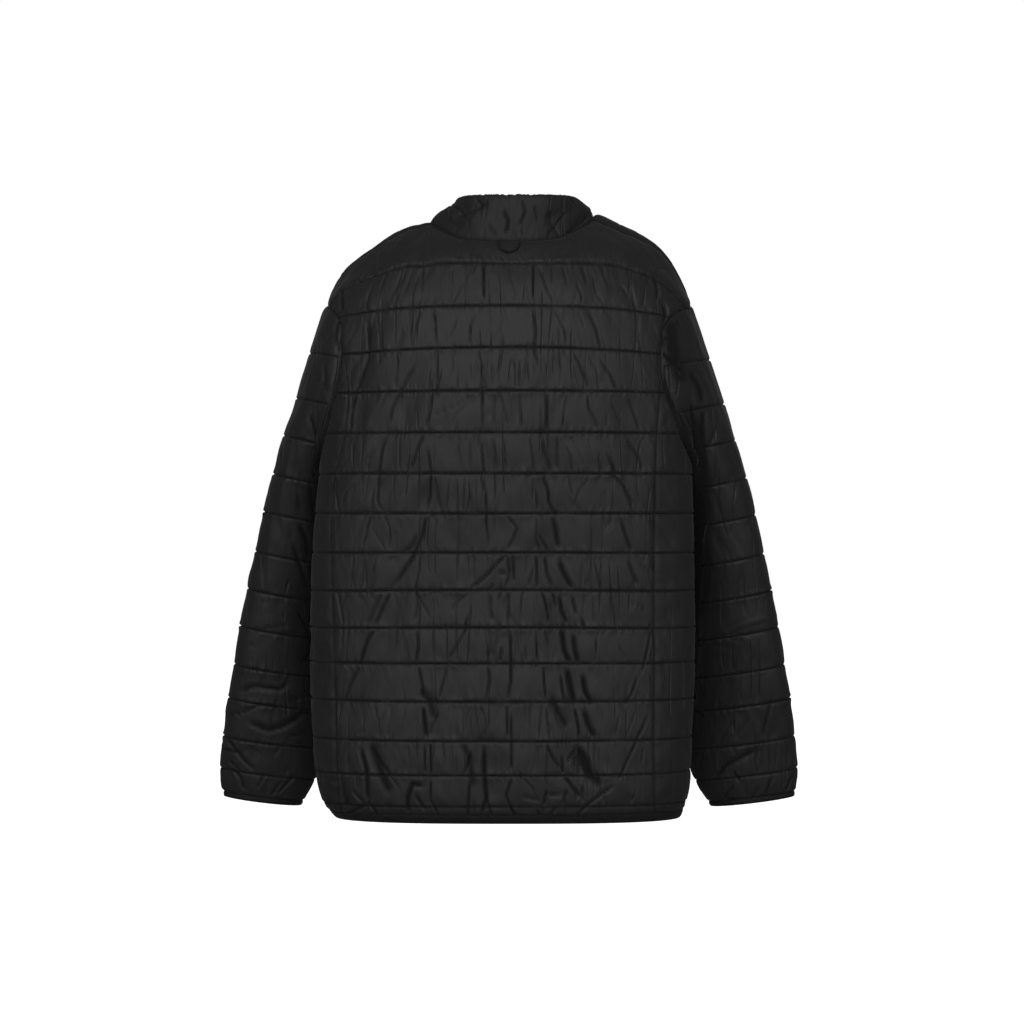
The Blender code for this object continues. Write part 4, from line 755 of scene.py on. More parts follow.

# Creases placed as the picture's camera sees them: width in its pixels, depth in mm
# before creaseShape's power, then points in its pixels. A negative depth is a ridge.
backCreases = (
    (16, 2.6, (372, 742), (380, 765), (392, 795)),  # wide ones, bunched by the binding
    (14, 2.4, (338, 770), (345, 790), (352, 808)), (14, 2.4, (551, 696), (558, 712), (568, 728)),
    (16, 2.6, (574, 752), (586, 770), (602, 786)), (16, 2.4, (655, 762), (668, 780), (680, 800)),
    (12, 2.2, (462, 740), (470, 760), (474, 790)), (14, 2.2, (420, 690), (430, 700), (436, 720)),
    (2.5, 3, (484, 266), (484, 300)),  # under the two short rows of stitches
    (2.5, 3, (533, 266), (533, 300)),
    # upper right
    (3, 1.6, (540, 271), (546, 290), (553, 303)),
    (3, 1.8, (553.5, 308.5), (558.5, 321), (563.5, 330), (566.5, 344)),
    (3, 1, (561.5, 268.5), (567, 286)), (3, 1.3, (576, 286), (581.5, 297), (581, 304)),
    (5, 1.3, (581.5, 268.5), (586, 284)), (3, 1.6, (591.5, 277), (595, 296), (603, 306)),
    (3.5, 2, (588, 313), (595, 328.5), (598.5, 344), (600.7, 351.5)),
    (3, 1, (577, 312), (584, 328.5)), (3.5, 2, (573.5, 353.5), (581.5, 371.5), (588.5, 388.5)),
    (3.5, 2.2, (599.3, 360.7), (608.5, 374.3), (616.5, 391.5)), (3, 1, (588.5, 358.5), (597, 373)),
    (3.5, 1.8, (587, 394.3), (588, 408.5), (593, 418.5), (598.5, 430)),
    (3.5, 1.8, (627, 398.5), (631.5, 410), (638.5, 430)), (3, 1.2, (610, 401.5), (620, 424)),
    (3, 1.2, (567, 394), (563, 413), (562, 430)), (5, 2, (546.5, 394), (546.5, 430)),
    (3, 1.2, (601.5, 268), (603, 280)), (3, 1.2, (624, 276), (637, 264)),
    (3, 1.2, (645, 280), (647, 287)), (5, 4, (651.5, 278.5), (655, 291.5), (655, 300)),
    (6, 5, (661.5, 305.7), (663.5, 315.7), (660.7, 335.7)), (5, 4, (660, 352), (680.7, 375)),
    # upper left
    (3, 1.8, (371, 296), (367.5, 312)),
    (5, 2.6, (368, 320), (369.7, 329), (370.5, 350), (369.3, 360.5), (365, 372.5), (360, 386),
     (354.7, 396.5)),
    (4, 3, (357, 395), (353, 410), (352.5, 430)),
    (4, 2.5, (352.5, 399.5), (349.5, 410), (339, 420), (331.5, 422)),
    (3, 1.4, (362, 359), (352.5, 372.5), (351, 380), (351.7, 393.5)),
    (3.5, 2.2, (417.7, 362), (414, 369.5), (407, 381.5), (402, 392), (394.5, 407), (389, 425)),
    (3, 1.2, (403.5, 392.7), (395, 415)), (3, 2, (433.5, 391), (431, 414.5), (426, 429)),
    (3, 1, (476, 394), (456, 405.5), (432, 416)),
    (3, 1.4, (423, 311), (418.5, 320), (417, 332), (412.5, 345.5)),
    (3, 1.2, (411, 311), (412, 347)), (3, 1.6, (433.5, 311), (435.7, 320), (437, 345.5)),
    (3, 1.4, (437.7, 351.5), (437.7, 389), (438, 399.5)),
    (3, 1.4, (476, 314), (471, 326), (469.5, 345.5)),
    (3, 1.6, (477.7, 350), (481.5, 365), (482.7, 389), (482.7, 410), (483.7, 430)),
    (3, 1.2, (502.5, 333.5), (501, 359), (499.5, 372.5)),
    (3, 1.8, (532.5, 308), (535.5, 332), (534, 350), (538.5, 369.5)),
    (3, 1.3, (404, 272), (399.7, 285.5), (396, 294.5)), (3, 1.3, (387, 276.5), (382.5, 290)),
    (3, 1, (424.5, 269), (421.5, 282.5)), (3, 1, (462, 287), (453.7, 303.5)),
    (3, 1, (457.5, 320), (450, 338)), (3, 1.1, (397.5, 351.5), (399, 365), (396, 387.5)),
    (5, 4, (345, 290), (345, 314)), (3, 0.9, (495, 395), (493.5, 425)),
    (3, 1, (499.5, 392), (504, 410), (507, 425)), (3, 1.2, (519, 393.5), (520.5, 410), (521, 430)),
    # middle left
    (3.5, 2, (388.5, 433), (383, 448.5), (380.7, 465.7), (379.3, 480), (378.6, 501.4),
     (383, 511.4)),
    (2.5, 1.2, (383, 445.7), (374, 454), (364, 463.5)),
    (3.5, 2.2, (425, 433), (420, 445.7), (414, 463), (411.4, 470)),
    (3.5, 2.4, (428, 448.5), (430.7, 465.7), (431.4, 477), (430.7, 494), (426.4, 511.4)),
    (4.5, 3, (431.4, 513.5), (425.7, 520), (423, 534), (418.5, 544), (413, 557), (405.7, 568.5),
     (394, 587)),
    (5, 2.5, (417, 535.7), (413, 545.7), (405.7, 551.4)),
    (4, 2.6, (391.4, 591.4), (384, 607), (375.7, 625.7)),
    (6, 1.6, (383, 593), (375.7, 608.5), (368.5, 625.7)),
    (3, 2, (372, 515.7), (369, 524), (367, 535.7), (364, 545.7)),
    (2.5, 1.4, (383.5, 514), (390, 525.7), (391.4, 535.7), (388.5, 547)),
    (2.5, 0.9, (373, 527), (383, 544), (386, 551)),
    (3, 1.4, (358.5, 484), (348.5, 493), (343.5, 507)),
    (3, 1.5, (337, 487), (340, 501), (340.7, 511)),
    (3, 2, (340, 593), (343, 608.5), (345.7, 625.7)), (3, 1.4, (327, 578.5), (335.7, 588.5)),
    (3, 1.6, (418.5, 554), (420, 565.7), (415.7, 587), (418.5, 601), (417, 615.7), (411, 623.5)),
    (3, 1.2, (415.7, 591), (424, 605.7), (430, 617)),
    (3, 1.8, (480.7, 434), (483, 458.5), (484, 470), (481.4, 478.5), (485.7, 491), (486.4, 511),
     (486.4, 528.5), (488.5, 538.5), (486.4, 551)),
    (3, 1.2, (493.5, 437), (495.7, 470)), (3, 1.2, (504, 438.5), (505.7, 470)),
    (3.5, 2.2, (505.7, 514), (511.4, 521.4), (517, 528.5), (513, 540), (507, 550)),
    (4, 2.8, (508.5, 553), (497, 564), (485.7, 577), (471.4, 588.5)),
    (3.5, 2, (511.4, 570.7), (498.5, 574)), (3, 1.2, (471.4, 591.4), (460, 601), (451.4, 610)),
    (3.5, 2, (494, 584), (488.5, 591)), (3, 1.4, (501.4, 583), (498.5, 601)),
    (4, 1.8, (507, 555), (510, 573), (506, 587)), (4, 1.4, (490, 594), (491.4, 621)),
    (4, 1.6, (508.5, 591), (508.5, 623)), (3, 1.2, (471, 493), (468.5, 511)),
    (3, 1, (471, 438.5), (470, 470)), (3, 0.8, (400, 438.5), (400, 470)),
    (3, 1.3, (355.7, 558.5), (352, 584)), (3, 1, (365.7, 558.5), (363, 584)),
    (3, 1.2, (377, 557), (374, 573)), (3, 2, (468.5, 617), (465.7, 625.7)),
    (3, 1.2, (324, 458.5), (328, 473)),
    # middle right
    (3, 1.4, (530, 438.5), (533, 458.5), (534, 473)), (3, 1, (533.5, 477), (533, 501)),
    (4, 2, (542, 437), (544, 451), (548.5, 463), (550.7, 473)),
    (4, 2.6, (543.5, 477), (548, 490), (548.5, 501), (553, 511), (558.5, 515.7)),
    (3, 1.6, (535.7, 490), (538, 510)), (3, 1.4, (557, 437), (556.4, 470)),
    (3, 1.2, (564, 444), (570, 458.5), (570.7, 473)), (3, 1.4, (568, 478.5), (571.4, 494)),
    (3, 1.2, (588.5, 478.5), (578.5, 491), (573.5, 507)),
    (4, 2.4, (605, 453), (612, 467), (614, 477), (623, 487), (628.5, 498.5), (631.4, 511.4)),
    (3.5, 2, (625.7, 440), (634, 451), (640, 463), (641.4, 471)),
    (4, 2.6, (620, 520), (623, 530), (627, 543), (630.7, 551.4)),
    (5, 2, (627, 560), (631.4, 573), (637, 585.7)),
    (3, 1.4, (635.7, 561.4), (647, 571.4), (651.4, 588.5)),
    (3, 1.6, (653, 440), (653, 458.5), (655.7, 470), (654, 487), (650, 510)),
    (3, 2.4, (653, 520), (657, 535.7), (661.4, 553), (663, 558.5), (663.5, 587)),
    (3, 2.6, (653, 547), (658.5, 563), (659, 590), (657, 598.5), (657, 613), (658, 630)),
    (3, 1.6, (658.5, 595.7), (663, 614), (665.7, 628.5)), (3.5, 2.4, (653.5, 620), (647, 628.5)),
    (3.5, 2.4, (539, 535.7), (544, 544), (548.5, 551.4)), (3.5, 2.2, (535.7, 540), (540, 548.5)),
    (7, 2.6, (553, 518.5), (555.7, 530), (558.5, 548.5)),
    (4, 2.2, (545, 555.7), (547, 573), (553, 587)),
    (7, 3, (559, 561.4), (564, 574), (571.4, 588.5)),
    (3.5, 2.6, (541.4, 590), (545.7, 604), (549, 623)), (3.5, 2.4, (553, 593), (556.4, 607)),
    (6, 3, (560, 597), (561.4, 611.4), (567, 623)), (4, 2.2, (571.4, 597), (575.7, 614)),
    (3.5, 2.4, (581.4, 618.5), (584, 630)), (3, 1.4, (537, 518.5), (537, 541.4)),
    (4, 2, (536.4, 554), (537, 588.5)), (3, 1.6, (534, 567), (528.5, 585.7)),
    (4, 2, (513, 554), (514, 581.4)), (3, 1.4, (594, 561.4), (600, 588.5)),
    (3, 0.9, (581.4, 561.4), (580, 591.4)), (3, 1, (592, 595.7), (593, 624)),
    (3, 1.3, (610, 597), (615.7, 627)), (3, 1.2, (630, 601.4), (644, 610)),
    (3, 1.2, (610, 521.4), (604, 527)), (4, 1.8, (678.5, 438.5), (687, 455.7)),
    (3, 1.2, (598.5, 453), (598, 461.4), (600.7, 471.4)), (3, 1, (664, 536), (673, 553)),
    # lower left
    (5, 3, (376, 629), (368, 640), (363, 657), (360.5, 665)),
    (3.5, 2.5, (360.5, 666.5), (353.7, 678.5), (344.7, 701.7)),
    (3, 1.2, (343, 623), (344.7, 629), (344, 647)),
    (3.5, 2, (417.5, 629), (419, 647), (416.7, 662)),
    (4, 2.2, (419, 666.5), (422.7, 684.5), (423.5, 695)), (6, 3.5, (423.5, 707), (427, 737)),
    (3, 2, (425, 744.5), (425.7, 774.5)), (3, 2.4, (431, 741.5), (431.7, 774.5)),
    (3, 2.2, (466, 621.5), (465, 632), (455, 650), (448, 660.5)),
    (3, 2, (447.5, 669.5), (443, 684.5), (440, 699.5)),
    (3, 1.6, (438.5, 713), (432.5, 728), (431, 735.5)), (5, 2, (502, 647), (500, 662)),
    (3, 1.2, (489.5, 642.5), (488.7, 663.5)), (3.5, 2, (488, 666.5), (490, 680), (485.7, 702.5)),
    (3.5, 2.4, (510.5, 629), (510.8, 662), (511, 680), (507.5, 701)),
    (3, 2, (506.7, 704), (507.5, 737)), (3, 2.4, (511, 713), (511.5, 743), (511.2, 770)),
    (3.5, 2.6, (512, 777.5), (506, 795.5), (513.5, 813.5)),
    (2.5, 1.2, (481, 705.5), (485.7, 722), (485, 737)),
    (5, 4.5, (484.2, 746), (484.5, 774.5), (486.5, 798.5), (481, 815)),
    (3, 2.5, (487, 800), (492.5, 816.5)), (4, 1.6, (471.5, 750.5), (465.5, 773)),
    (4, 2.6, (470, 782), (467.7, 816.5)), (4, 1.6, (371, 744.5), (401, 789.5)),
    (6, 4, (362, 747.5), (368, 770), (369.5, 800)), (4, 3, (369.5, 800), (380, 816.5)),
    (6, 4, (425, 785), (413, 783.5), (408.5, 797), (408.5, 812)), (5, 2.5, (416, 794), (425, 809)),
    (3, 2.2, (431, 777.5), (431, 800), (441.5, 819.5)), (5, 2, (329, 705.5), (338, 716)),
    (5, 2.5, (329, 744.5), (336.5, 764)), (4, 2.2, (354.5, 789.5), (366.5, 803)),
    (4, 2, (326, 774.5), (336.5, 791)), (5, 2.5, (327.5, 806), (347, 813.5), (369.5, 803)),
    (4, 1.2, (336.5, 668), (335, 687.5)), (3, 0.9, (386, 713), (380, 723.5)),
    (3, 0.9, (375.5, 705.5), (378.5, 719)), (4, 1.2, (354.5, 735.5), (366.5, 729.5)),
    (3, 0.8, (464, 737), (468.5, 710)),
    # lower right
    (6, 4, (561.5, 629), (564, 650), (570, 663.5)),
    (6, 3, (573, 635), (574.5, 650), (577.5, 663.5)),
    (7, 4.5, (567, 669.5), (570, 684.5), (574.5, 704)),
    (6, 4, (582, 675.5), (585, 692), (591, 704)), (3, 3, (574.5, 708.5), (578, 725), (579, 737)),
    (8, 3.5, (583.5, 710), (588, 725), (594, 737)),
    (8, 4.5, (578, 747.5), (586.5, 762.5), (589.5, 777.5)),
    (4.5, 3, (564.7, 776), (573, 788), (580.5, 797)), (4, 2, (582, 785), (582, 800)),
    (4, 2.6, (613.5, 785), (600, 794), (586.5, 805), (576, 815)),
    (3.5, 2.6, (654, 621.5), (648, 639.5), (642, 666.5), (639, 672.5)),
    (3.5, 2.6, (636, 678.5), (630, 695), (624, 704)),
    (3.5, 2.6, (646.5, 716), (637.5, 735.5), (634.5, 743), (618, 779)),
    (3, 2, (654, 647), (648, 657.5)), (2.5, 1, (635, 710), (624, 740)),
    (3, 2.6, (657.7, 623), (657, 647), (660, 656)),
    (3, 2, (654, 650), (656, 665), (654, 680), (654, 704), (654.7, 740)),
    (3, 1.8, (652.5, 743), (652.5, 764), (660, 776)), (4, 1.8, (649.5, 675.5), (651, 704)),
    (5, 2, (687, 669.5), (679.5, 686), (676.5, 701)), (6, 2.4, (690, 701), (678, 728), (666, 746)),
    (5, 2, (688.5, 734), (669, 764)), (4, 1.8, (687, 749), (667.5, 771.5)),
    (5, 2.8, (661.5, 764), (663, 776), (658.5, 792.5)), (2.5, 1.8, (536, 629), (537, 662)),
    (3, 2.2, (543.7, 666.5), (544, 680), (546, 701)), (2.5, 1.5, (546, 705.5), (549, 737)),
    (3, 1.6, (545, 629), (549, 647)), (3.5, 2.4, (561, 675.5), (562.5, 692), (565.5, 702.5)),
    (4.5, 2.6, (546.7, 746), (553.5, 759.5), (561, 768.5)), (4, 2.6, (561.7, 756.5), (562.5, 773)),
    (4, 2.4, (576, 749), (567, 761)),
    (3, 1.6, (516.7, 768.5), (522.7, 777.5), (532.5, 788), (537, 798.5)),
    (3.5, 3, (546.7, 789.5), (543.7, 804.5)), (3, 1.2, (546.7, 776), (546.7, 785)),
    (4, 2, (567, 789.5), (562.5, 803)), (4, 1.6, (547.5, 794), (562.5, 795.5)),
    (5, 1.4, (522, 795.5), (540, 800)), (4, 3, (510.7, 807.5), (519, 819.5)),
    (4, 2.4, (555, 807.5), (549, 816.5)), (4, 2, (537, 809), (540, 818)),
    (2.5, 1.4, (595.5, 638), (594.7, 662)), (3, 1.2, (595.5, 770), (598.5, 780.5)),
    (3, 1, (618, 645.5), (624, 659)), (4, 1, (618, 716), (615, 734)),
    (3, 1.2, (525, 647), (525.7, 660.5)), (2.5, 1, (516.7, 629), (517.5, 650)),
    (3, 1.2, (642, 749), (640.5, 762.5)),
)


def backPanel():
    rows = rowCoordinates()
    level, fall, lateness, _ = stitchLine(rows)
    halves = []
    for name in sideOf:
        side = sideOf[name]
        edge = backEdgeShare(rows, name) - seams["gap"] / 2 / torso.halfGirth(level)
        share = np.linspace(1, 0, grain["halfBack"] + 1)
        at = edge[:, None] * share
        z = level[:, None] - fall[:, None] * share ** lateness[:, None]
        points = torso.point(z, at, side)
        normals = torso.outward(z, at, side)
        halves.append((points, normals))
    points = np.concatenate([halves[0][0], halves[1][0][:, ::-1][:, 1:]], axis=1)
    normals = np.concatenate([halves[0][1], halves[1][1][:, ::-1][:, 1:]], axis=1)
    middle = grain["halfBack"]
    normals[:, middle] = unit(normals[:, middle - 1] + normals[:, middle + 1])

    edges = []
    for name in sideOf:
        shoulder, backNeck, _ = topEdge(name)
        edge = np.concatenate([shoulder, backNeck[1:]])
        rim = [shoulderRimDirection(shoulder[:-1]), neckRimDirection(backNeck)]
        edges.append((edge, np.concatenate(rim)))
    top = np.concatenate([edges[0][0], edges[1][0][::-1][1:]])
    topRim = unit(smoothed(np.concatenate([edges[0][1], edges[1][1][::-1][1:]])))
    top = top - np.array([0.0, seams["gap"] / 2, seams["gap"] / 4])

    slopeUp = unit(points[0] - points[1])
    heading = unit(np.array(backHeading) + 0.0 * top)
    shares = np.arange(grain["crown"]) / grain["crown"]
    crownPoints = crown(points[0], top, -slopeUp, -heading, shares, [0, -1])
    grid = np.concatenate([crownPoints, points])
    allNormals = np.concatenate([gridNormals(grid, -1.0)[: len(shares)], normals])
    allNormals = leanToRim(allNormals, topRim, grid, seams["rimReach"])
    allNormals[-1] = levelOut(allNormals[-1])
    allRows = np.concatenate([shares, rows])

    along = lengthsAcross(grid, middle)
    away = np.minimum(along - along[:, :1], along[:, -1:] - along)
    hold = np.where(allRows > seams["sideTopRow"], seams["sideHold"], 1.0)[:, None]
    padded, paintedShade = padding(grid, allRows, along, away, 1.0, hold=hold)
    creases = creaseDepth(grid, backCreases) * np.clip(away / 0.006, 0, 1)
    # painted shade in the creases, added to that of the stitch lines
    paintedShade = np.maximum(paintedShade, shaded(creases))
    thick = walls["stitched"] + padded - creases
    thick = np.maximum(thick, quilt["least"])
    held = allRows <= seams["sideTopRow"]
    thick[held, 0] = thick[held, -1] = walls["stitched"]
    folded = grid.copy()
    inward = foldDepth(grid, backFolds)
    inward *= smoothStep((grid[..., 2] - seams["hemLevel"]) / 0.03)
    inward[:, 0] = inward[:, -1] = 0.0
    inward[0] = 0.0
    folded -= allNormals * inward[..., None]
    outer = folded + allNormals * thick[..., None]
    lines = bandRows(allRows)
    runs = [(outer[r], allNormals[r]) for r in lines[1:-1]]
    piece = makeWall("back_cloth", folded, outer, lines, "shell", paintedShade)
    return piece, runs


# How far the under front and its bindings step back, by their distance from the middle
def lapShift(distance, under):
    if not under:
        return np.zeros_like(distance)
    beyond = (distance - closing["still"]) / (closing["ramp"] - closing["still"])
    return closing["step"] * smoothStep(1 - beyond)


def frontPanel(sideName):
    side = sideOf[sideName]
    under = sideName == "right"
    rows = rowCoordinates()
    level, fall, _, frontLevel = stitchLine(rows)
    edge = level - fall
    girth = torso.halfGirth(edge)
    seam = sideSeamShare(edge, sideName) + seams["gap"] / 2 / girth
    below = rows >= seams["underarmRow"]
    underarmLevel = edgeLevel(np.array([float(seams["underarmRow"])]))
    holeLevel = np.maximum(edge, underarmLevel[0])
    armShare = armholeShare(underarmLevel, armholeBack, sideName)
    behind = np.where(below, armShare, armholeShare(holeLevel, armholeBack, sideName))
    ahead = np.where(below, armShare, armholeShare(holeLevel, armholeFront, sideName))

    sidePart = np.linspace(0, 1, grain["side"] + 1)
    sideShare = seam[:, None] + (behind - seam)[:, None] * sidePart
    frontColumns = shoulderColumns + grain["frontNeck"]
    frontPart = np.linspace(0, 1, frontColumns + 1)
    frontShare = ahead[:, None] + (1 - ahead)[:, None] * frontPart
    lapShare = 1 + closing["lap"] / girth
    share = np.concatenate([sideShare, frontShare, lapShare[:, None]], axis=1)

    turn = smoothStep((share - ahead[:, None]) / (1 - ahead[:, None]))
    z = edge[:, None] + (frontLevel - edge)[:, None] * turn
    points = torso.point(z, share, side)
    normals = torso.outward(z, share, side)

    shoulder, _, frontNeck = topEdge(sideName)
    lapped = lappedEnd(frontNeck)
    top = np.concatenate([shoulder, frontNeck[1:], lapped[None]])
    neckRim = neckRimDirection(np.concatenate([frontNeck, lapped[None]]))
    rim = unit(smoothed(np.concatenate([shoulderRimDirection(shoulder[:-1]), neckRim])))
    top = top + np.array([0.0, seams["gap"] / 2, 0.0])
    first = grain["side"] + 1
    low = points[0, first:]
    slopeUp = unit(low - points[1, first:])
    heading = np.zeros_like(top)
    inner = np.clip(1.6 * np.arange(shoulderColumns)[:, None] / shoulderColumns, 0, 1)
    rise = np.array([0.0, -0.4, -frontHeading["shoulderRise"][sideName]])
    heading[:shoulderColumns] = np.array(frontHeading["armhole"]) + rise * inner
    turned = smoothStep(2 * np.arange(len(top) - shoulderColumns)[:, None] / grain["frontNeck"])
    atNeck = np.array([0.0, -0.8, -frontHeading["neckRise"][sideName]])
    atMiddle = np.array(frontHeading["middle"])
    heading[shoulderColumns:] = (1 - turned) * atNeck + turned * atMiddle
    heading = smoothed(heading)
    shares = np.arange(grain["crown"]) / grain["crown"]
    crownPoints = crown(low, top, -slopeUp, -heading, shares, [0])
    frontGrid = np.concatenate([crownPoints, points[:, first:]])
    crownNormals = gridNormals(frontGrid, -side)
    # The rim reaches less far under the collar, where the crown is low.
    reach = np.full(len(top), seams["rimReach"])
    room = 0.6 * lengthsDown(frontGrid)[len(shares), shoulderColumns:]
    reach[shoulderColumns:] = np.clip(room, 0.003, seams["rimReach"])
    crownNormals = leanToRim(crownNormals, rim, frontGrid, reach)[: len(shares)]

    # Rows above the first stitch line have no side part, so its points there stay unused.
    count = len(shares)
    blank = np.repeat(points[:1, :first], count, axis=0)
    grid = np.concatenate([np.concatenate([blank, crownPoints], axis=1), points])
    blankNormals = np.repeat(normals[:1, :first], count, axis=0)
    crownNormals = np.concatenate([blankNormals, crownNormals], axis=1)
    allNormals = np.concatenate([crownNormals, normals])
    allNormals[-1] = levelOut(allNormals[-1])
    allRows = np.concatenate([shares, rows])

    distance = np.abs((1 - share) * girth[:, None])
    topDistance = distance[0].copy()
    neckSteps = np.linalg.norm(np.diff(frontNeck, axis=0), axis=1)
    topDistance[first + shoulderColumns : -2] = np.cumsum(neckSteps[::-1])[::-1]
    part = shares[:, None]
    distance = np.concatenate([topDistance * (1 - part) + distance[0] * part, distance])
    lapWay = np.concatenate([np.repeat(normals[:1], count, axis=0), normals[:-1], allNormals[-1:]])
    grid = grid - lapWay * lapShift(distance, under)[..., None]
    placket = 0.6 * closing["placket"]
    flat = smoothStep((distance - placket) / placket)  # 0 on the placket, 1 on the padded cloth
    base = walls["stitched"] * flat + walls["placket"] * (1 - flat)
    along = lengthsAcross(grid, -1)
    away = along - along[:, :1]
    hole = lengthsAcross(grid, grain["side"])
    held = allRows < seams["underarmRow"] + 1e-6
    away[held, : first] = np.minimum(away, np.abs(hole))[held, : first]
    away[held, first:] = lengthsAcross(grid, first)[held, first:]
    away[allRows < seams["sideTopRow"], 0] = 0.0
    if side > 0:
        along = along + 3.0  # so that its wrinkles aren't those of the other front
    hold = np.ones_like(away)
    hold[allRows > seams["sideTopRow"], : grain["side"] // 2] = seams["sideHold"]
    # the padding comes with painted shade in the stitch grooves and along the edges
    padded, paintedShade = padding(grid, allRows, along, away, 20.0 + side, hold=hold)
    thick = np.maximum(base + padded * (0.12 + 0.88 * flat), quilt["least"])
    thick[held, grain["side"]] = thick[held, first] = walls["stitched"]
    thick[:, -1] = np.maximum(thick[:, -1] * 0.7, walls["stitched"])

    rowCount, columns = grid.shape[:2]
    ids = plainIds(rowCount, columns)
    joined = allRows >= seams["underarmRow"] - 1e-6
    ids[joined, first] = ids[joined, grain["side"]]
    used = np.ones((rowCount - 1, columns - 1), bool)
    used[:, grain["side"]] = False
    used[allRows[:-1] < seams["sideTopRow"] - 1e-6, :grain["side"]] = False
    outer = grid + allNormals * thick[..., None]
    lines = bandRows(allRows)
    runs = []
    for r in lines[1:-1]:
        start = 0 if allRows[r] >= seams["sideTopRow"] - 1e-6 else first
        if start == 0 and allRows[r] < seams["underarmRow"] - 1e-6:
            runs.append((outer[r, : first], allNormals[r, : first]))
            start = first
        runs.append((outer[r, start:], allNormals[r, start:]))
    name = "front_cloth_" + sideName
    return makeWall(name, grid, outer, lines, "shell", paintedShade, ids, used), runs


# Sleeves


# Sleeves: outer edge, then the oval section there.
sleeveOuter = (
    # level, out
    (-0.071, 0.2225), (-0.117, 0.2420), (-0.181, 0.2649), (-0.244, 0.2843), (-0.308, 0.2996),
    (-0.371, 0.3133), (-0.435, 0.3264), (-0.499, 0.3396), (-0.563, 0.3513), (-0.628, 0.3598),
    (-0.666, 0.3630), (-0.692, 0.3595),
)
sleeveSections = (
    # level, long half, short half, turn in degrees, forward, slope of the ring
    (-0.300, 0.0705, 0.0385, 68.0, 0.036, 0.20),
    (-0.328, 0.0700, 0.0380, 66.0, 0.040, 0.20),
    (-0.378, 0.0690, 0.0380, 60.0, 0.046, 0.20),
    (-0.425, 0.0675, 0.0375, 53.0, 0.052, 0.20),
    (-0.499, 0.0650, 0.0370, 42.0, 0.060, 0.19),
    (-0.563, 0.0630, 0.0360, 30.0, 0.066, 0.17),
    (-0.628, 0.0600, 0.0330, 17.0, 0.070, 0.15),
    (-0.660, 0.0550, 0.0300, 12.0, 0.071, 0.14),
    (-0.692, 0.0445, 0.0240, 10.0, 0.072, 0.14),
)
sleeveLines = (-0.131, -0.1865, -0.233, -0.281, -0.328, -0.378, -0.425, -0.472, -0.5205)
sleeveLines += (-0.563, -0.612, -0.653, -0.683)
sleeveFit = {
    "freeLine": 5,  # the first sleeve line that runs all the way round below the armhole
    "rimBlend": 0.014,  # how far the direction of the armhole's rim carries into the sleeve
    "leastSpread": 0.25,  # how closely the lines above that may crowd where the armhole cuts them
    "topReach": 0.16,  # how far the cloth keeps its way out of the armhole, over the shoulder
    "underReach": 0.100,  # and under the arm
    "underFinish": 0.05,
    "elbow": -0.40,  # a sleeve's own forward swing ends here, and its own fullness starts
    "forward": {"left": 0.010, "right": 0.002},  # beyond the table, to clear the side
    "fullness": {"left": 1.0, "right": 1.09},  # of the lower sleeve
    "lead": {"left": 0.0, "right": 0.009},  # how much lower its first lines are
}


# Points round an armhole: from the shoulder down the back to the underarm, and up the front
def armholeRing(sideName):
    side = sideOf[sideName]
    turns = np.concatenate([np.arange(10) / 10, 1 + np.arange(150) / 5, 31 + np.arange(10) / 10])
    rows = np.where(turns <= 16, 1 + (turns - 1) / 3, seams["underarmRow"] - (turns - 16) / 3)
    level = edgeLevel(np.maximum(rows, 1))
    behind = armholeShare(level, armholeBack, sideName)
    ahead = armholeShare(level, armholeFront, sideName)
    share = np.where(turns <= 16, behind, ahead)
    upper = (np.clip(1 - turns, 0, 1) + np.clip(turns - 31, 0, 1))[:, None]
    shoulder = np.array(shoulderSeam[-1])[None] * np.array([side, 1, 1])
    points = torso.point(level, share, side) * (1 - upper) + shoulder * upper
    directions = torso.outward(level, share, side) * (1 - upper)
    directions = unit(directions + shoulderRimDirection(shoulder) * upper)
    return points, directions, turns / 32


# A ring round a sleeve that starts at its outer edge and runs round behind
def sleeveRing(level, shares, sideName):
    side = sideOf[sideName]
    longHalf, shortHalf, turn, forward, slope = through(sleeveSections, level)
    lower = smoothStep((sleeveFit["elbow"] - level) / 0.20)
    longHalf *= 1 + (sleeveFit["fullness"][sideName] - 1) * lower
    forward += sleeveFit["forward"][sideName] * (1 - lower)
    edge = through(sleeveOuter, level)[0]
    inward = np.array([-math.cos(slope), 0.0, -math.sin(slope)])
    ahead = np.array([0.0, 1.0, 0.0])
    turn = math.radians(turn)
    longWay = math.cos(turn) * inward + math.sin(turn) * ahead
    shortWay = -math.sin(turn) * inward + math.cos(turn) * ahead
    angle = np.linspace(0, 2 * math.pi, 721)
    oval = longHalf * np.cos(angle)[:, None] * longWay
    oval = oval + shortHalf * np.sin(angle)[:, None] * shortWay
    start = int(np.argmin(oval[:-1] @ inward))
    oval = np.roll(oval[:-1], -start, axis=0)
    if oval[30, 1] > oval[0, 1]:
        oval = np.roll(oval[::-1], 1, axis=0)
    oval = np.vstack([oval, oval[:1]])
    centre = np.array([edge, forward, level]) - oval[0] * np.array([1.0, 0.0, 1.0])
    run = runLength(oval)
    ring = centre + sampled((np.asarray(shares) % 1.0) * run[-1], run, oval)
    return ring * np.array([side, 1.0, 1.0])


def sleeveLevel(rows, sideName):
    lead = sleeveFit["lead"][sideName]
    lines = [shoulderSeam[-1][2]]
    lines += [z - lead * max(0.0, 1 - (k + 1) / 9) for k, z in enumerate(sleeveLines)]
    return np.interp(rows, range(len(lines)), lines)


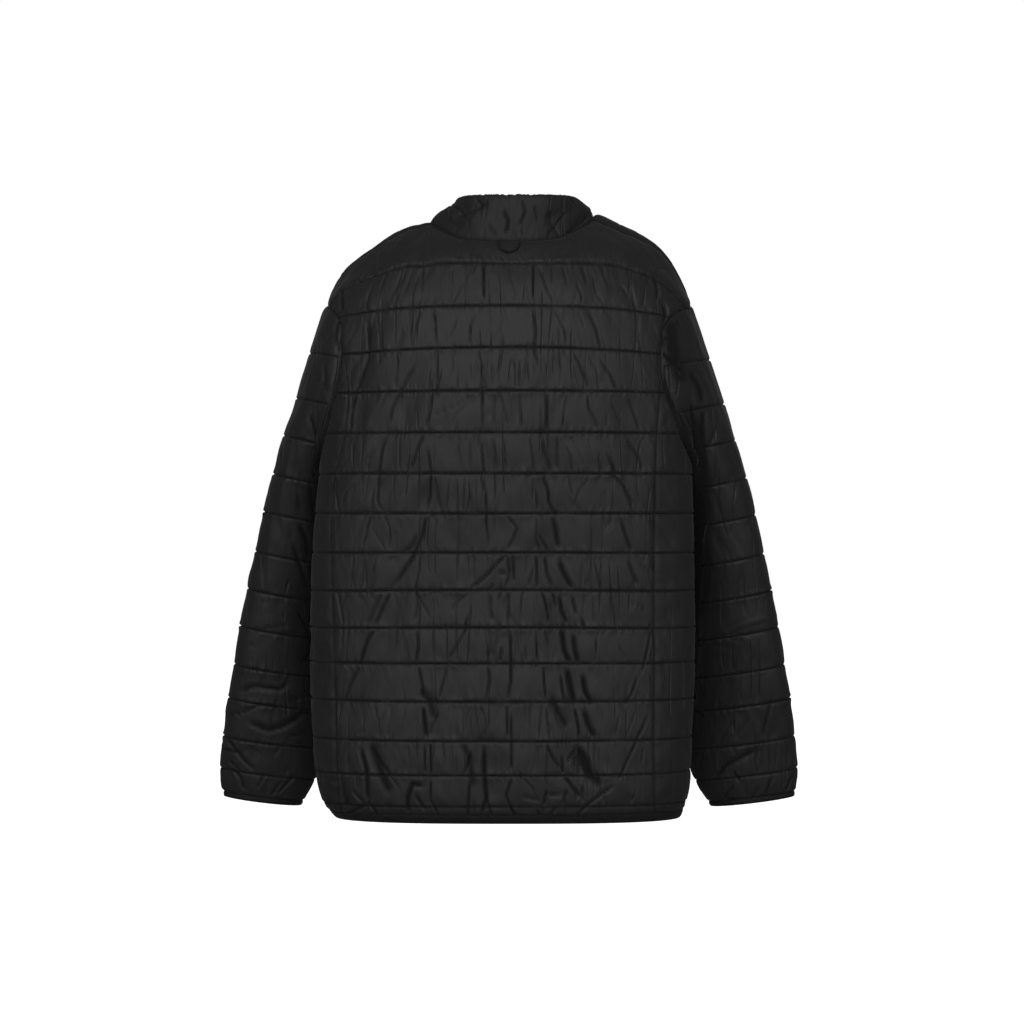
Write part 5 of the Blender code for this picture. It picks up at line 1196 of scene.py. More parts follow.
# Each column leaves the armhole and curves down to the first free line. Rows above that line are
# where the columns pass their levels, and rows below it are plain rings.
def sleeveSurface(rows, sideName, ringPoints, ringDirections, shares):
    side = sideOf[sideName]
    count = len(ringPoints)
    freeLevel = float(sleeveLevel(float(sleeveFit["freeLine"]), sideName))
    freeRing = sleeveRing(freeLevel, shares, sideName)
    nextRing = sleeveRing(freeLevel - 0.02, shares, sideName)
    tangent = np.roll(ringPoints, -1, axis=0) - np.roll(ringPoints, 1, axis=0)
    into = unit(np.cross(ringDirections, tangent)) * side
    centre = ringPoints.mean(axis=0)
    into *= np.sign(((centre - ringPoints) * into).sum(axis=1, keepdims=True))
    start = ringPoints + seams["gap"] * into
    low = (1 - np.cos(2 * np.pi * shares))[:, None] / 2  # 0 at the shoulder, 1 under the arm
    down = np.array([0.0, 0.0, -1.0])
    outward = np.array([side, 0.0, 0.0])
    way = unit(
        (1 - low) * (0.36 * outward + 0.93 * down)
        + low * (1.0 * outward + 0.12 * down)
        + 0.22 * ringDirections * np.sin(2 * np.pi * shares)[:, None] ** 2
    )
    reach = sleeveFit["topReach"] * (1 - low) + sleeveFit["underReach"] * low
    finish = sleeveFit["topReach"] * (1 - low) + sleeveFit["underFinish"] * low
    finish = unit(nextRing - freeRing) * finish
    steps = np.linspace(0, 1, 200)[:, None, None]
    run = curved(steps, start, way * reach, freeRing, finish)
    slope = through(sleeveSections, freeLevel)[4]
    points = np.zeros((len(rows), count, 3))
    for r, row in enumerate(rows):
        level = float(sleeveLevel(row, sideName))
        if row >= sleeveFit["freeLine"]:
            points[r] = sleeveRing(level, shares, sideName)
            continue
        edge = through(sleeveOuter, level)[0]
        for c in range(count):
            track = run[:, c]
            height = track[:, 2] + math.tan(slope) * (edge - np.abs(track[:, 0])) - level
            passed = np.flatnonzero(height <= 0)
            where = passed[0] / (len(track) - 1) if len(passed) else 1.0
            if len(passed) and passed[0] > 0:
                k = passed[0]
                where = (k - 1 + height[k - 1] / (height[k - 1] - height[k])) / (len(track) - 1)
            where = max(where, sleeveFit["leastSpread"] * row / sleeveFit["freeLine"])
            if row == 0:
                where = 0.0
            at = min(where, 1.0) * (len(track) - 1)
            k = min(int(at), len(track) - 2)
            points[r, c] = track[k] + (at - k) * (track[k + 1] - track[k])
    return points


def cuffAxis(sideName):
    slope = through(sleeveSections, sleeveLines[-1])[4]
    return np.array([sideOf[sideName] * math.sin(slope), 0.0, -math.cos(slope)])


sleeveShades = {  # painted shade where each sleeve turns away beside the body
    "left": ((30, 3, (319, 430), (316, 500), (313, 560), (309, 640), (307, 700)),),
    "right": (
        (42, 4, (686, 400), (694, 450), (701, 500), (704, 560), (703, 620)),
        (26, 3.4, (668, 318), (671, 350), (680, 386)),
    ),
}
# Creases of each sleeve; each also gets painted shade, and the wide deep ones beside the body stand
# mostly for the shadow there.
sleeveCreases = {
    "left": (
        (4, 3, (341, 318.6), (337.6, 337), (341, 354)),
        (4, 2.4, (326.5, 361), (328, 385.5), (331, 393)), (3, 1.6, (317, 376), (326.5, 385.5)),
        (5, 3, (311.6, 415), (317, 437), (317, 445)),
        (6, 4, (315, 448.6), (314, 467), (312.5, 478)),
        (6, 4, (309, 486), (310.6, 500.6), (311.6, 517)), (4, 1.6, (296.7, 495), (300.4, 510)),
        (8, 4, (298.6, 523), (304, 539.6), (306, 558)), (4, 3, (316, 526.6), (315.3, 558)),
        (8, -1.4, (295, 435.6), (289, 472.7), (282, 508), (283.7, 523), (289, 547)),
        (6, 3.5, (292, 544), (300, 569), (305.6, 588)), (3, 2, (307.6, 565), (309.5, 582)),
        (5, 4, (296, 611.4), (305.6, 630.6), (309.5, 648)),
        (3.5, 3, (309.5, 648), (304.7, 657.6), (298, 661.5)),
        (3.5, 1.8, (264, 611.4), (284.4, 616)), (3, 1.8, (263, 628.7), (288, 624)),
        (4, 0.9, (242, 646), (257.4, 644)),
        (6, 3.2, (240, 691.4), (253.6, 685.6), (278.6, 688.5), (288, 683.7)),
        (4, 2.6, (288, 700), (309.5, 694)),
        (3.5, 2.6, (228.5, 715.5), (246, 710.7), (259.4, 704), (273, 705), (284.4, 713.6)),
        (8, 4, (249.7, 721), (269, 729), (282.5, 725), (296, 717.4), (302, 711.6)),
        (5, 3, (298, 711.6), (309.5, 713.6)), (4, 2.6, (288, 735), (305.6, 733)),
        (4.5, 2.8, (228.5, 735), (236, 746.4), (244, 758), (255.5, 769.5)),
        (3.5, 2.4, (224.6, 748), (242, 752)), (2.5, 1, (253.6, 746.4), (263, 756)),
        (3, 1.2, (282.5, 744.4), (273, 754)), (3.5, 2.4, (232.4, 760), (240, 769.5)),
        (4, 3, (234.3, 767.6), (242, 777), (245, 789)), (4, 2, (265, 773.4), (257.4, 787)),
        (4, 2, (280.6, 781), (271, 794.6)), (4, 2.4, (294, 775), (276.7, 792.7)),
        (3, 2, (298, 742.5), (303.7, 748)), (9, 5, (322, 430), (321, 500), (318, 600), (314, 690)),
    ),
    "right": (
        (3, 2, (691, 312), (680, 319), (670.5, 330.5), (661, 342)),
        (5, 4, (661, 353.6), (680, 374)), (10, 5, (688, 372), (697, 388), (700, 404)),
        (6, 5, (689, 404), (691, 425), (694, 450)), (6, 4, (701, 411), (701, 448)),
        (5, 2.5, (714, 425), (708, 445)),
        (5, -1.2, (725, 634), (741, 625), (761, 618), (775, 614.6)), (3, 2, (697, 646), (722, 644)),
        (2.5, 1.6, (712, 640), (722, 645), (735, 648)), (2.5, 1.4, (728, 637), (745, 640)),
        (4, 1, (758, 641), (752, 663.7)), (5, 2.6, (770.6, 695.7), (761.4, 737)),
        (4, 1.6, (734, 718.6), (720, 743.7)), (4, 1.8, (750, 716), (736, 737)),
        (8, 3, (757, 748), (727, 764), (715.7, 778)), (4, 2, (759, 743.7), (754.6, 759.7)),
        (4, 1.6, (704, 753), (702, 769)), (3.5, 3, (734, 771), (739.7, 780)),
        (3.5, 2.6, (734, 785), (725, 796)), (3, 2, (725, 796), (736, 798.6)),
        (4, 2.8, (770.6, 775.7), (765, 794)), (4, 2.6, (789, 775.7), (784, 789.4)),
        (4, 1.6, (759, 785), (752, 798.6)), (4, 2.6, (695, 709.4), (706.6, 716)),
        (6, 4, (693, 686.6), (697.4, 700)),
        (16, 7, (699, 425), (702, 470), (701, 560), (697, 640), (694, 700)),
    ),
}


def sleeve(sideName):
    side = sideOf[sideName]
    lines = len(sleeveLines)
    steps = crowded(np.arange(grain["channel"]) / grain["channel"])
    rows = np.append((np.arange(lines)[:, None] + steps).ravel(), lines)
    ringPoints, ringDirections, shares = armholeRing(sideName)
    surface = sleeveSurface(rows, sideName, ringPoints, ringDirections, shares)
    looped = np.concatenate([surface[:, -2:], surface, surface[:, :2]], axis=1)
    normals = gridNormals(looped, side)[:, 2:-2]
    beyond = np.linalg.norm(surface - surface[:1], axis=2)[..., None]
    near = np.clip(1 - beyond / sleeveFit["rimBlend"], 0, 1)
    normals = unit(near * ringDirections + (1 - near) * normals)
    axis = cuffAxis(sideName)
    normals[-1] = unit(normals[-1] - (normals[-1] @ axis)[:, None] * axis)
    surface = np.concatenate([surface, surface[:, :1]], axis=1)
    normals = np.concatenate([normals, normals[:, :1]], axis=1)
    away = np.linalg.norm(surface - surface[:1], axis=2)
    girth = np.linalg.norm(np.diff(surface, axis=1), axis=2).sum(axis=1).mean()
    along = np.append(shares, 1.0)[None] * girth + 0.0 * away
    # the padding comes with painted shade in the stitch grooves
    padded, paintedShade = padding(surface, rows, along, away, 40.0 + side, wrap=girth)
    behind = np.clip(0.3 - normals[..., 1], 0, 1)
    creases = creaseDepth(surface, sleeveCreases[sideName]) * behind
    # painted shade in the creases
    paintedShade = np.maximum(paintedShade, shaded(creases))
    # painted shade where the sleeve turns away beside the body
    shade = creaseDepth(surface, sleeveShades[sideName]) * behind
    paintedShade = np.clip(paintedShade + shaded(shade, 1.2), 0, 1)
    thick = np.maximum(walls["stitched"] + padded - creases, quilt["least"])
    thick[0] = walls["stitched"]
    outer = surface + normals * thick[..., None]
    lines = bandRows(rows)
    runs = [(outer[r], normals[r]) for r in lines[1:-1]]
    name = "sleeve_cloth_" + sideName
    return makeWall(name, surface, outer, lines, "shell", paintedShade, closed=True), runs


# Collar, bindings and small parts


# The whole neckline from lapped edge to lapped edge, and the direction of its rim
def neckline():
    halves = []
    for sideName in sideOf:
        _, backNeck, frontNeck = topEdge(sideName)
        lapped = lappedEnd(frontNeck)
        halves.append(np.concatenate([backNeck[::-1], frontNeck[1:], lapped[None]]))
    edge = np.concatenate([halves[0][::-1], halves[1][1:]])
    rim = neckRimDirection(edge)
    return edge, unit(smoothed(rim))


def splitColumns(points, parts):
    places = np.arange((len(points) - 1) * parts + 1) / parts
    return sampled(places, range(len(points)), points)


standCollar = {
    "rows": 26,
    "split": 2,  # its columns in one column of the neckline
    "edgeWall": 0.0026,
    "crestWall": 0.0054,
    "least": 0.0014,
    "shade": 0.22,  # painted shade over the whole collar, which also makes it a little more matt
    "sway": 0.0095,  # its top edge leans to the wearer's right
    "gather": 0.0006,
    "gatherBehind": 0.0008,
    "gatherSpacing": 0.0080,
    "wave": 0.0024,
    "waveSpacing": 0.022,
    "tooth": 0.0016,  # the small teeth that the gathers make along its top edge
    "toothSpacing": 0.0034,
}
collarTop = (
    # share of the way round from the middle of the back to that of the front, out, forward, level
    (0.00, 0.0000, -0.0620, 0.0610),
    (0.16, 0.0380, -0.0560, 0.0615),
    (0.30, 0.0640, -0.0330, 0.0625),
    (0.44, 0.0730, 0.0000, 0.0600),
    (0.62, 0.0650, 0.0320, 0.0460),
    (0.82, 0.0340, 0.0540, 0.0250),
    (1.00, 0.0000, 0.0600, 0.0150),
)
collarFolds = (
    # out, level, to out, to level, half width, depth
    (-0.066, 0.034, -0.027, 0.050, 0.0075, 0.0026),
    (-0.078, 0.040, -0.058, 0.020, 0.0075, 0.0026),
    (0.092, 0.045, 0.074, 0.014, 0.0080, 0.0030),
    (0.046, 0.036, 0.058, 0.012, 0.0070, 0.0022),
    (-0.010, 0.052, -0.006, 0.014, 0.0070, 0.0016),
)
collarCreases = (
    (5, 3, (456, 219), (470, 216), (488, 205)), (4, 3, (444, 212), (452, 222), (461, 228)),
    (4, 2.6, (447, 206), (462, 212), (470, 222)), (5, 3.2, (584, 206), (578, 222), (565, 236)),
    (4, 2.4, (547, 212), (551, 226), (559, 238)), (4, 2.4, (562, 214), (553, 228), (545, 238)),
    (5, 3, (503, 212), (508, 222), (506, 234)), (4, 2, (489, 226), (496, 236)),
    (4, 2.2, (521, 200), (525, 212), (520, 226)), (4, 2, (534, 206), (537, 222)),
    (4, 2, (477, 198), (484, 209)), (4, 2.2, (566, 198), (572, 210)),
)


def collarPiece():
    edge, rim = neckline()
    split = standCollar["split"]
    base, rim = splitColumns(edge, split), unit(splitColumns(rim, split))
    run = runLength(base)
    middle = len(base) // 2
    last = middle - split  # columns from the middle of the back to the middle of the front
    share = np.abs(run - run[middle]) / (run[middle + last] - run[middle])
    side = np.sign(run - run[middle])
    past = share > 1
    near = np.where(past, 2 - share, share)
    top = through(collarTop, near)
    top[:, 0] *= side * np.where(past, -1, 1)
    top[:, 0] += standCollar["sway"] * np.minimum(2 * (1 - near), 1)
    away = levelOut(top - np.array([0.0, -0.002, 0.0]))
    up = unit(np.cross(rim, np.gradient(base, axis=0)))
    up *= np.sign(up[:, 2:])
    distance = np.abs(1 - share) * (run[middle + last] - run[middle])
    distance = np.where(past, 0.0, distance)
    under = (side > 0)[:, None] * lapShift(distance, True)[:, None]
    low = base + up * seams["gap"] - rim * under
    high = top - away * under
    f = (np.arange(standCollar["rows"] + 1) / standCollar["rows"])[:, None, None]
    length = np.linalg.norm(high - low, axis=1, keepdims=True)
    lift = unit(np.array([0.0, 0.0, 1.0]) - 0.05 * away)
    grid = curved(f, low, unit(up + lift) * length, high, lift * length)
    normals = gridNormals(grid, 1.0)
    normals *= np.sign((normals * away).sum(axis=2, keepdims=True))
    normals = np.stack([unit(smoothed(row)) for row in normals])
    normals[0], normals[-1] = rim, away
    rise = f[..., 0]
    bulge = np.sin(np.pi * rise**1.5) ** 0.7
    column = (run - run[middle])[None]
    behindNeck = np.exp(-(((column + 0.006) / 0.070) ** 2))
    wander = 0.003 * noise(column / 0.03, rise * 2.0, 61)
    gathers = (column + 3 * wander) / standCollar["gatherSpacing"]
    gathers = np.abs(noise(gathers, rise * 1.9, 62)) ** 0.8 * (1 - 0.35 * bulge)
    gathers = gathers * (standCollar["gather"] + standCollar["gatherBehind"] * behindNeck)
    wide = (column + 4 * wander) / standCollar["waveSpacing"]
    wide = standCollar["wave"] * noise(wide, rise * 2.2, 63)
    thick = standCollar["edgeWall"] + (standCollar["crestWall"] - standCollar["edgeWall"]) * bulge
    thick = thick + gathers * np.clip(rise / 0.08, 0, 1) + wide * bulge
    teeth = np.abs(noise(column / standCollar["toothSpacing"], 0.0, 64))
    grid[..., 2] -= standCollar["tooth"] * teeth * (0.25 + 0.75 * behindNeck) * rise**8
    behind = np.clip(-grid[..., 1] / 0.03, 0, 1)
    folds = foldDepth(grid, collarFolds) * behind * np.sin(np.pi * f[..., 0]) ** 0.5
    thick[:, 0] = thick[:, -1] = standCollar["edgeWall"]
    creases = creaseDepth(grid, collarCreases) * behind
    # painted shade: in the creases, along the lower edge under the neck tape, and a little over the
    # whole collar
    paintedShade = 0.5 * shaded(creases) + np.exp(-((rise * 26) ** 2)) + standCollar["shade"]
    paintedShade = np.clip(paintedShade, 0, 1)
    thick = np.maximum(thick - folds - creases, standCollar["least"])
    outer = grid + normals * thick[..., None]
    piece = makeWall("collar_cloth", grid, outer, range(len(grid)), "shell", paintedShade)
    return piece, [(outer[2], normals[2])]


def tube(name, centres, radius, materialName):
    curve = bpy.data.curves.new(name, "CURVE")
    curve.dimensions = "3D"
    curve.bevel_depth = radius
    curve.bevel_resolution = 5
    curve.use_fill_caps = True
    spline = curve.splines.new("POLY")
    spline.points.add(len(centres) - 1)
    for point, centre in zip(spline.points, centres):
        point.co = (*centre, 1.0)
    return newObject(name, curve, materialName)


tape = {
    "radius": 0.0017,
    "shorter": 5,  # split columns left bare at each end
    "lean": 0.0002,  # how far it leans up onto the collar
    "endLean": 0.0006,  # and further at its ends
    "endRise": 0.0019,  # how far its ends stand off
    "lower": 0.0024,
}


def neckTape():
    edge, rim = neckline()
    middle = len(edge) // 2
    behind = slice(middle - grain["neck"], middle + grain["neck"] + 1)
    edge = splitColumns(edge[behind], standCollar["split"])[tape["shorter"]:-tape["shorter"]]
    rim = unit(splitColumns(rim[behind], standCollar["split"]))[tape["shorter"]:-tape["shorter"]]
    toEnd = np.abs(np.linspace(-1, 1, len(edge)))[:, None]
    lean = tape["lean"] + tape["endLean"] * toEnd**4
    rise = (levelOut(-edge) + np.array([0.0, 0.0, 1.0])) * lean
    reach = standCollar["edgeWall"] + tape["radius"] + 3.2 * seams["gap"]
    reach = reach + tape["endRise"] * toEnd**1.5
    rise = rise - np.array([0.0, 0.0, tape["lower"]])
    return tube("neck_tape_cord", edge + rim * reach + rise, tape["radius"], "binding")


def onSurface(piece, start, way):
    _, place, normal, _ = piece.ray_cast(Vector(start), Vector(way))
    return np.array(place), np.array(normal)


loop = {"radius": 0.0015, "halfWidth": 0.0125, "top": -0.0012, "drop": 0.0120}


def hangLoop(back):
    centres = []
    for turn in np.linspace(0, math.pi, 49):
        out = -loop["halfWidth"] * math.cos(turn)
        level = loop["top"] - loop["drop"] * math.sin(turn)
        place, normal = onSurface(back, (out, -0.5, level), (0, 1, 0))
        centres.append(place + normal * (loop["radius"] + 1.4 * seams["gap"]))
    return tube("hang_loop_cord", centres, loop["radius"], "binding")


studShape = {
    "radius": 0.0062,
    "height": 0.0024,
    "around": 48,
    "collarLevel": -0.016,
    "levels": (-0.100, -0.206, -0.306, -0.400, -0.489, -0.580),
    "profile": (  # radius and height, as shares of the stud's own
        (1.00, 0.00), (1.00, 0.30), (0.97, 0.48), (0.90, 0.62), (0.80, 0.72), (0.70, 0.78),
        (0.64, 0.74), (0.60, 0.74), (0.54, 0.82), (0.40, 0.92), (0.22, 0.98), (0.08, 1.00),
    ),
}


def stud(name, cloth, level):
    place, normal = onSurface(cloth, (0.0, 0.5, level), (0, -1, 0))
    around = studShape["around"]
    turn = Vector(normal).to_track_quat("Z", "Y").to_matrix().to_4x4()
    turn.translation = Vector(place + normal * 0.4 * seams["gap"])
    points = [(0, 0, 0)]
    for radius, height in studShape["profile"]:
        radius, height = radius * studShape["radius"], height * studShape["height"]
        for k in range(around):
            angle = 2 * math.pi * k / around
            points.append((radius * math.cos(angle), radius * math.sin(angle), height))
    points.append((0, 0, studShape["height"]))
    faces = []
    for k in range(around):
        after = (k + 1) % around
        faces.append((0, 1 + after, 1 + k))
        for ring in range(len(studShape["profile"]) - 1):
            low, high = 1 + ring * around, 1 + (ring + 1) * around
            faces.append((low + k, low + after, high + after, high + k))
        last = 1 + (len(studShape["profile"]) - 1) * around
        faces.append((last + k, last + after, len(points) - 1))
    mesh = bpy.data.meshes.new(name)
    mesh.from_pydata([turn @ Vector(p) for p in points], [], faces)
    mesh.shade_smooth()
    mesh.set_sharp_from_angle(angle=math.radians(50))
    return newObject(name, mesh, "stud")


bindings = {
    "hemHeight": 0.0104,
    "cuffHeight": 0.0068,
    "wall": 0.0044,
    "inside": 0.0012,  # how much of it lies inside the cloth's inner surface
    "overlap": 0.0006,  # how far each binding laps the cloth
    "rows": 8,
    "hemColumns": 420,
    "cuffColumns": 160,
    "ripple": 0.0007,
    "ripplePitch": 0.0035,
    "wave": 0.0006,
    "waves": 12,  # in its whole length
}


def binding(name, rowsOfPoints, outward, closed):
    bulge = np.sin(np.pi * np.arange(bindings["rows"] + 1) / bindings["rows"]) ** 0.6
    outside = bindings["wall"] - bindings["inside"] - walls["stitched"]
    outside = walls["stitched"] + outside * bulge
    inside = rowsOfPoints - outward * (bindings["inside"] * bulge)[:, None, None]
    rows = len(rowsOfPoints)
    run = lengthsAcross(rowsOfPoints, 0)
    part = (np.arange(rows) / (rows - 1))[:, None]
    ripples = run[0, -1] / bindings["ripplePitch"]
    cells = round(float(ripples)) if closed else None
    share = run / run[:, -1:]
    ripple = np.abs(noise(share * (cells or ripples), part * 0.4, 71, cells))
    wave = noise(share * bindings["waves"], part * 0.3, 72, bindings["waves"])
    ripple = (bindings["ripple"] * ripple + bindings["wave"] * wave) * bulge[:, None]
    outer = rowsOfPoints + outward * (outside[:, None] + ripple)[..., None]
    # painted shade along the edge that meets the cloth
    paintedShade = np.exp(-((part * 5) ** 2)) + 0.0 * run
    return makeWall(name, inside, outer, range(rows), "binding", paintedShade, closed=closed)


def hemBinding():
    down = np.arange(bindings["rows"] + 1) / bindings["rows"]
    height = bindings["hemHeight"] + seams["gap"] + bindings["overlap"]
    level = seams["hemLevel"] + bindings["overlap"] - height * down
    girth = torso.halfGirth(level)[:, None]
    turn = np.linspace(-1, 1, bindings["hemColumns"] + 1)
    share = np.abs(turn) * (1 + closing["lap"] / girth)
    points, outward = [], []
    for sideName, mine in (("left", turn <= 0), ("right", turn > 0)):
        side = sideOf[sideName]
        z = np.repeat(level[:, None], mine.sum(), axis=1)
        place = torso.point(z, share[:, mine], side)
        way = levelOut(torso.outward(z, share[:, mine], side))
        distance = np.maximum(1 - share[:, mine], 0) * girth
        step = lapShift(distance, sideName == "right")
        points.append(place - way * step[..., None])
        outward.append(way)
    points, outward = np.concatenate(points, axis=1), np.concatenate(outward, axis=1)
    return binding("hem_binding_cloth", points, outward, False)


def cuffBinding(sideName):
    axis = cuffAxis(sideName)
    shares = np.arange(bindings["cuffColumns"] + 1) / bindings["cuffColumns"]
    ring = sleeveRing(sleeveLines[-1], shares, sideName)
    alongRing = np.roll(ring[:-1], -1, axis=0) - np.roll(ring[:-1], 1, axis=0)
    outward = unit(np.cross(alongRing, axis))
    fromMiddle = ring[:-1] - ring[:-1].mean(axis=0)
    outward *= np.sign((fromMiddle * outward).sum(axis=1, keepdims=True))
    outward = np.vstack([outward, outward[:1]])
    down = np.arange(bindings["rows"] + 1) / bindings["rows"]
    height = bindings["cuffHeight"] + seams["gap"] + bindings["overlap"]
    down = height * down - bindings["overlap"]
    rows = ring[None] + axis * down[:, None, None]
    return binding("cuff_binding_cloth_" + sideName, rows, outward[None], True)


# Stitches

stitch = {"pitch": 0.0032, "length": 0.0023, "width": 0.00055, "height": 0.00045}


# One small pointed stitch at each step along each run
def stitches(name, runs):
    points, faces = [], []
    for path, normals in runs:
        length = runLength(path)
        if length[-1] < 2 * stitch["pitch"]:
            continue
        at = np.arange(0.5, length[-1] / stitch["pitch"] - 0.5) * stitch["pitch"]
        place = sampled(at, length, path)
        normal = unit(sampled(at, length, normals))
        way = unit(sampled(at + 0.001, length, path) - sampled(at - 0.001, length, path))
        across = unit(np.cross(normal, way))
        place = place + normal * stitch["height"] * 0.3
        for middle, forward, aside, up in zip(place, way, across, normal):
            first = len(points)
            for axis, size in ((forward, "length"), (aside, "width"), (up, "height")):
                half = axis * stitch[size] / 2
                points += [middle - half, middle + half]
            for a, b in ((2, 5), (5, 3), (3, 4), (4, 2)):
                faces.append((first, first + b, first + a))
                faces.append((first + 1, first + a, first + b))
    mesh = bpy.data.meshes.new(name)
    mesh.from_pydata([tuple(p) for p in points], [], faces)
    mesh.shade_smooth()
    return newObject(name, mesh, "thread")


labelStitches = {"out": (-0.0299, 0.0289), "top": -0.0328, "bottom": -0.0736}


def labelRows(back):
    runs = []
    for out in labelStitches["out"]:
        path, normals = [], []
        for level in np.linspace(labelStitches["top"], labelStitches["bottom"], 24):
            place, normal = onSurface(back, (out, -0.5, level), (0, 1, 0))
            path.append(place)
            normals.append(normal)
        runs.append((np.array(path), np.array(normals)))
    return runs


# Finishes


class Wire:
    def __init__(self, finish, socket):
        self.finish, self.socket = finish, socket

    def worked(self, operation, first, second):
        return self.finish.worked(operation, first, second)

    def __add__(self, other):
        return self.worked("ADD", self, other)

    def __sub__(self, other):
        return self.worked("SUBTRACT", self, other)

    def __rsub__(self, other):
        return self.worked("SUBTRACT", other, self)

    def __mul__(self, other):
        return self.worked("MULTIPLY", self, other)

    def __pow__(self, other):
        return self.worked("POWER", self, other)

    __radd__ = __add__
    __rmul__ = __mul__


class Finish:
    def __init__(self, name, settings):
        self.material = bpy.data.materials.new(name)
        self.material.use_nodes = True
        self.tree = self.material.node_tree
        self.shader = self.tree.nodes["Principled BSDF"]
        for socket, value in settings.items():
            self.shader.inputs[socket].default_value = value

    def node(self, kind, settings=None, values=None, output=0):
        made = self.tree.nodes.new(kind)
        for setting, value in (settings or {}).items():
            setattr(made, setting, value)
        for socket, value in (values or {}).items():
            self.feed(made.inputs[socket], value)
        return Wire(self, made.outputs[output])

    def feed(self, socket, value):
        if isinstance(value, Wire):
            self.tree.links.new(value.socket, socket)
        else:
            socket.default_value = value

    def worked(self, operation, first, second=0.0):
        return self.node("ShaderNodeMath", {"operation": operation}, {0: first, 1: second})

    def output(self, socket, value):
        self.feed(self.shader.inputs[socket], value)

    # the painted shade kept on each mesh
    def paintedShade(self):
        return self.node("ShaderNodeAttribute", {"attribute_name": "paintedShade"}, output=2)

    def place(self):
        return self.node("ShaderNodeTexCoord", output=3)

    def spots(self, scale, detail=2.0, roughness=0.5, stretch=(1, 1, 1), distortion=0.0):
        place = self.node("ShaderNodeMapping", {}, {"Vector": self.place(), "Scale": stretch})
        return self.node("ShaderNodeTexNoise", {}, {
            "Vector": place, "Scale": scale, "Detail": detail,
            "Roughness": roughness, "Distortion": distortion,
        })

    def bump(self, height, strength, distance, before=None):
        values = {"Height": height, "Strength": strength, "Distance": distance}
        if before is not None:
            values["Normal"] = before
        return self.node("ShaderNodeBump", {}, values)

    def blend(self, share, first, second):
        return self.node(
            "ShaderNodeMix", {"data_type": "RGBA"}, {0: share, 6: first, 7: second}, output=2
        )


shellLook = {
    "dark": (0.0095, 0.0095, 0.0102, 1.0),
    "light": (0.0165, 0.0165, 0.0176, 1.0),
    # the colour that painted shade darkens the cloth towards
    "paintedShade": (0.0022, 0.0022, 0.0025, 1.0),
    "roughness": 0.54,
    "roughnessChange": 0.12,
    "crinkle": 0.55,
    "crinkleDepth": 0.0012,
    "weave": 0.10,
}


def shellFinish():
    finish = Finish("black_quilted_nylon", {
        "Specular IOR Level": 0.22, "Sheen Weight": 0.05, "Sheen Roughness": 0.45,
    })
    broad = finish.spots(9.0, 3.0)
    fine = finish.spots(160.0, 2.0)
    cloudy = broad * 0.75 + fine * 0.25
    paintedShade = finish.paintedShade()
    cloth = finish.blend(cloudy, shellLook["dark"], shellLook["light"])
    # painted shade darkens the colour and makes the cloth more matt
    finish.output("Base Color", finish.blend(paintedShade * 0.9, cloth, shellLook["paintedShade"]))
    rough = (cloudy - 0.5) * shellLook["roughnessChange"] + shellLook["roughness"]
    finish.output("Roughness", rough + paintedShade * 0.4)
    crinkle = finish.spots(105.0, 4.0, 0.55, (1.0, 0.6, 0.22), 0.4)
    creased = finish.spots(38.0, 2.0, 0.5, (1.0, 0.6, 0.35), 0.8)
    weave = finish.node("ShaderNodeTexWave", {"bands_direction": "DIAGONAL"}, {
        "Vector": finish.place(), "Scale": 420.0, "Distortion": 0.4,
    }, output=1)
    folds = finish.spots(64.0, 0.0, 0.4, (1.0, 0.25, 0.10), 0.2)
    thin = finish.node("ShaderNodeMapRange", {"interpolation_type": "SMOOTHSTEP"}, {
        "Value": finish.worked("ABSOLUTE", folds - 0.5), "From Min": 0.0, "From Max": 0.05,
    })
    patches = finish.node("ShaderNodeMapRange", {}, {
        "Value": finish.spots(22.0, 1.0), "From Min": 0.46, "From Max": 0.62,
    })
    lines = 1 - (1 - thin) * patches
    zero = finish.bump(lines, 0.8, 0.0012)
    first = finish.bump(creased, 0.35, 0.0012, zero)
    second = finish.bump(crinkle, shellLook["crinkle"], shellLook["crinkleDepth"], first)
    third = finish.bump(weave, shellLook["weave"], 0.0001, second)
    finish.output("Normal", third)
    return finish.material


def bindingFinish():
    finish = Finish("black_stretch_binding", {
        "Specular IOR Level": 0.16, "Sheen Weight": 0.04, "Sheen Roughness": 0.55,
    })
    worn = finish.spots(60.0, 3.0)
    paintedShade = finish.paintedShade()
    band = finish.blend(worn, (0.004, 0.004, 0.0044, 1), (0.0085, 0.0085, 0.0092, 1))
    # painted shade darkens the colour along the edge that meets the cloth
    finish.output("Base Color", finish.blend(paintedShade * 0.9, band, shellLook["paintedShade"]))
    finish.output("Roughness", (worn - 0.5) * 0.1 + 0.66)
    rib = finish.node("ShaderNodeTexWave", {"bands_direction": "X"}, {
        "Vector": finish.place(), "Scale": 260.0, "Distortion": 0.6,
    }, output=1)
    knit = finish.spots(900.0, 1.0)
    first = finish.bump(rib, 0.35, 0.0003)
    finish.output("Normal", finish.bump(knit, 0.4, 0.0003, first))
    return finish.material


def threadFinish():
    finish = Finish("black_sewing_thread", {"Specular IOR Level": 0.12})
    twist = finish.spots(1400.0, 1.0)
    colour = finish.blend(twist, (0.003, 0.003, 0.0033, 1), (0.008, 0.008, 0.0086, 1))
    finish.output("Base Color", colour)
    finish.output("Roughness", twist * 0.1 + 0.72)
    return finish.material


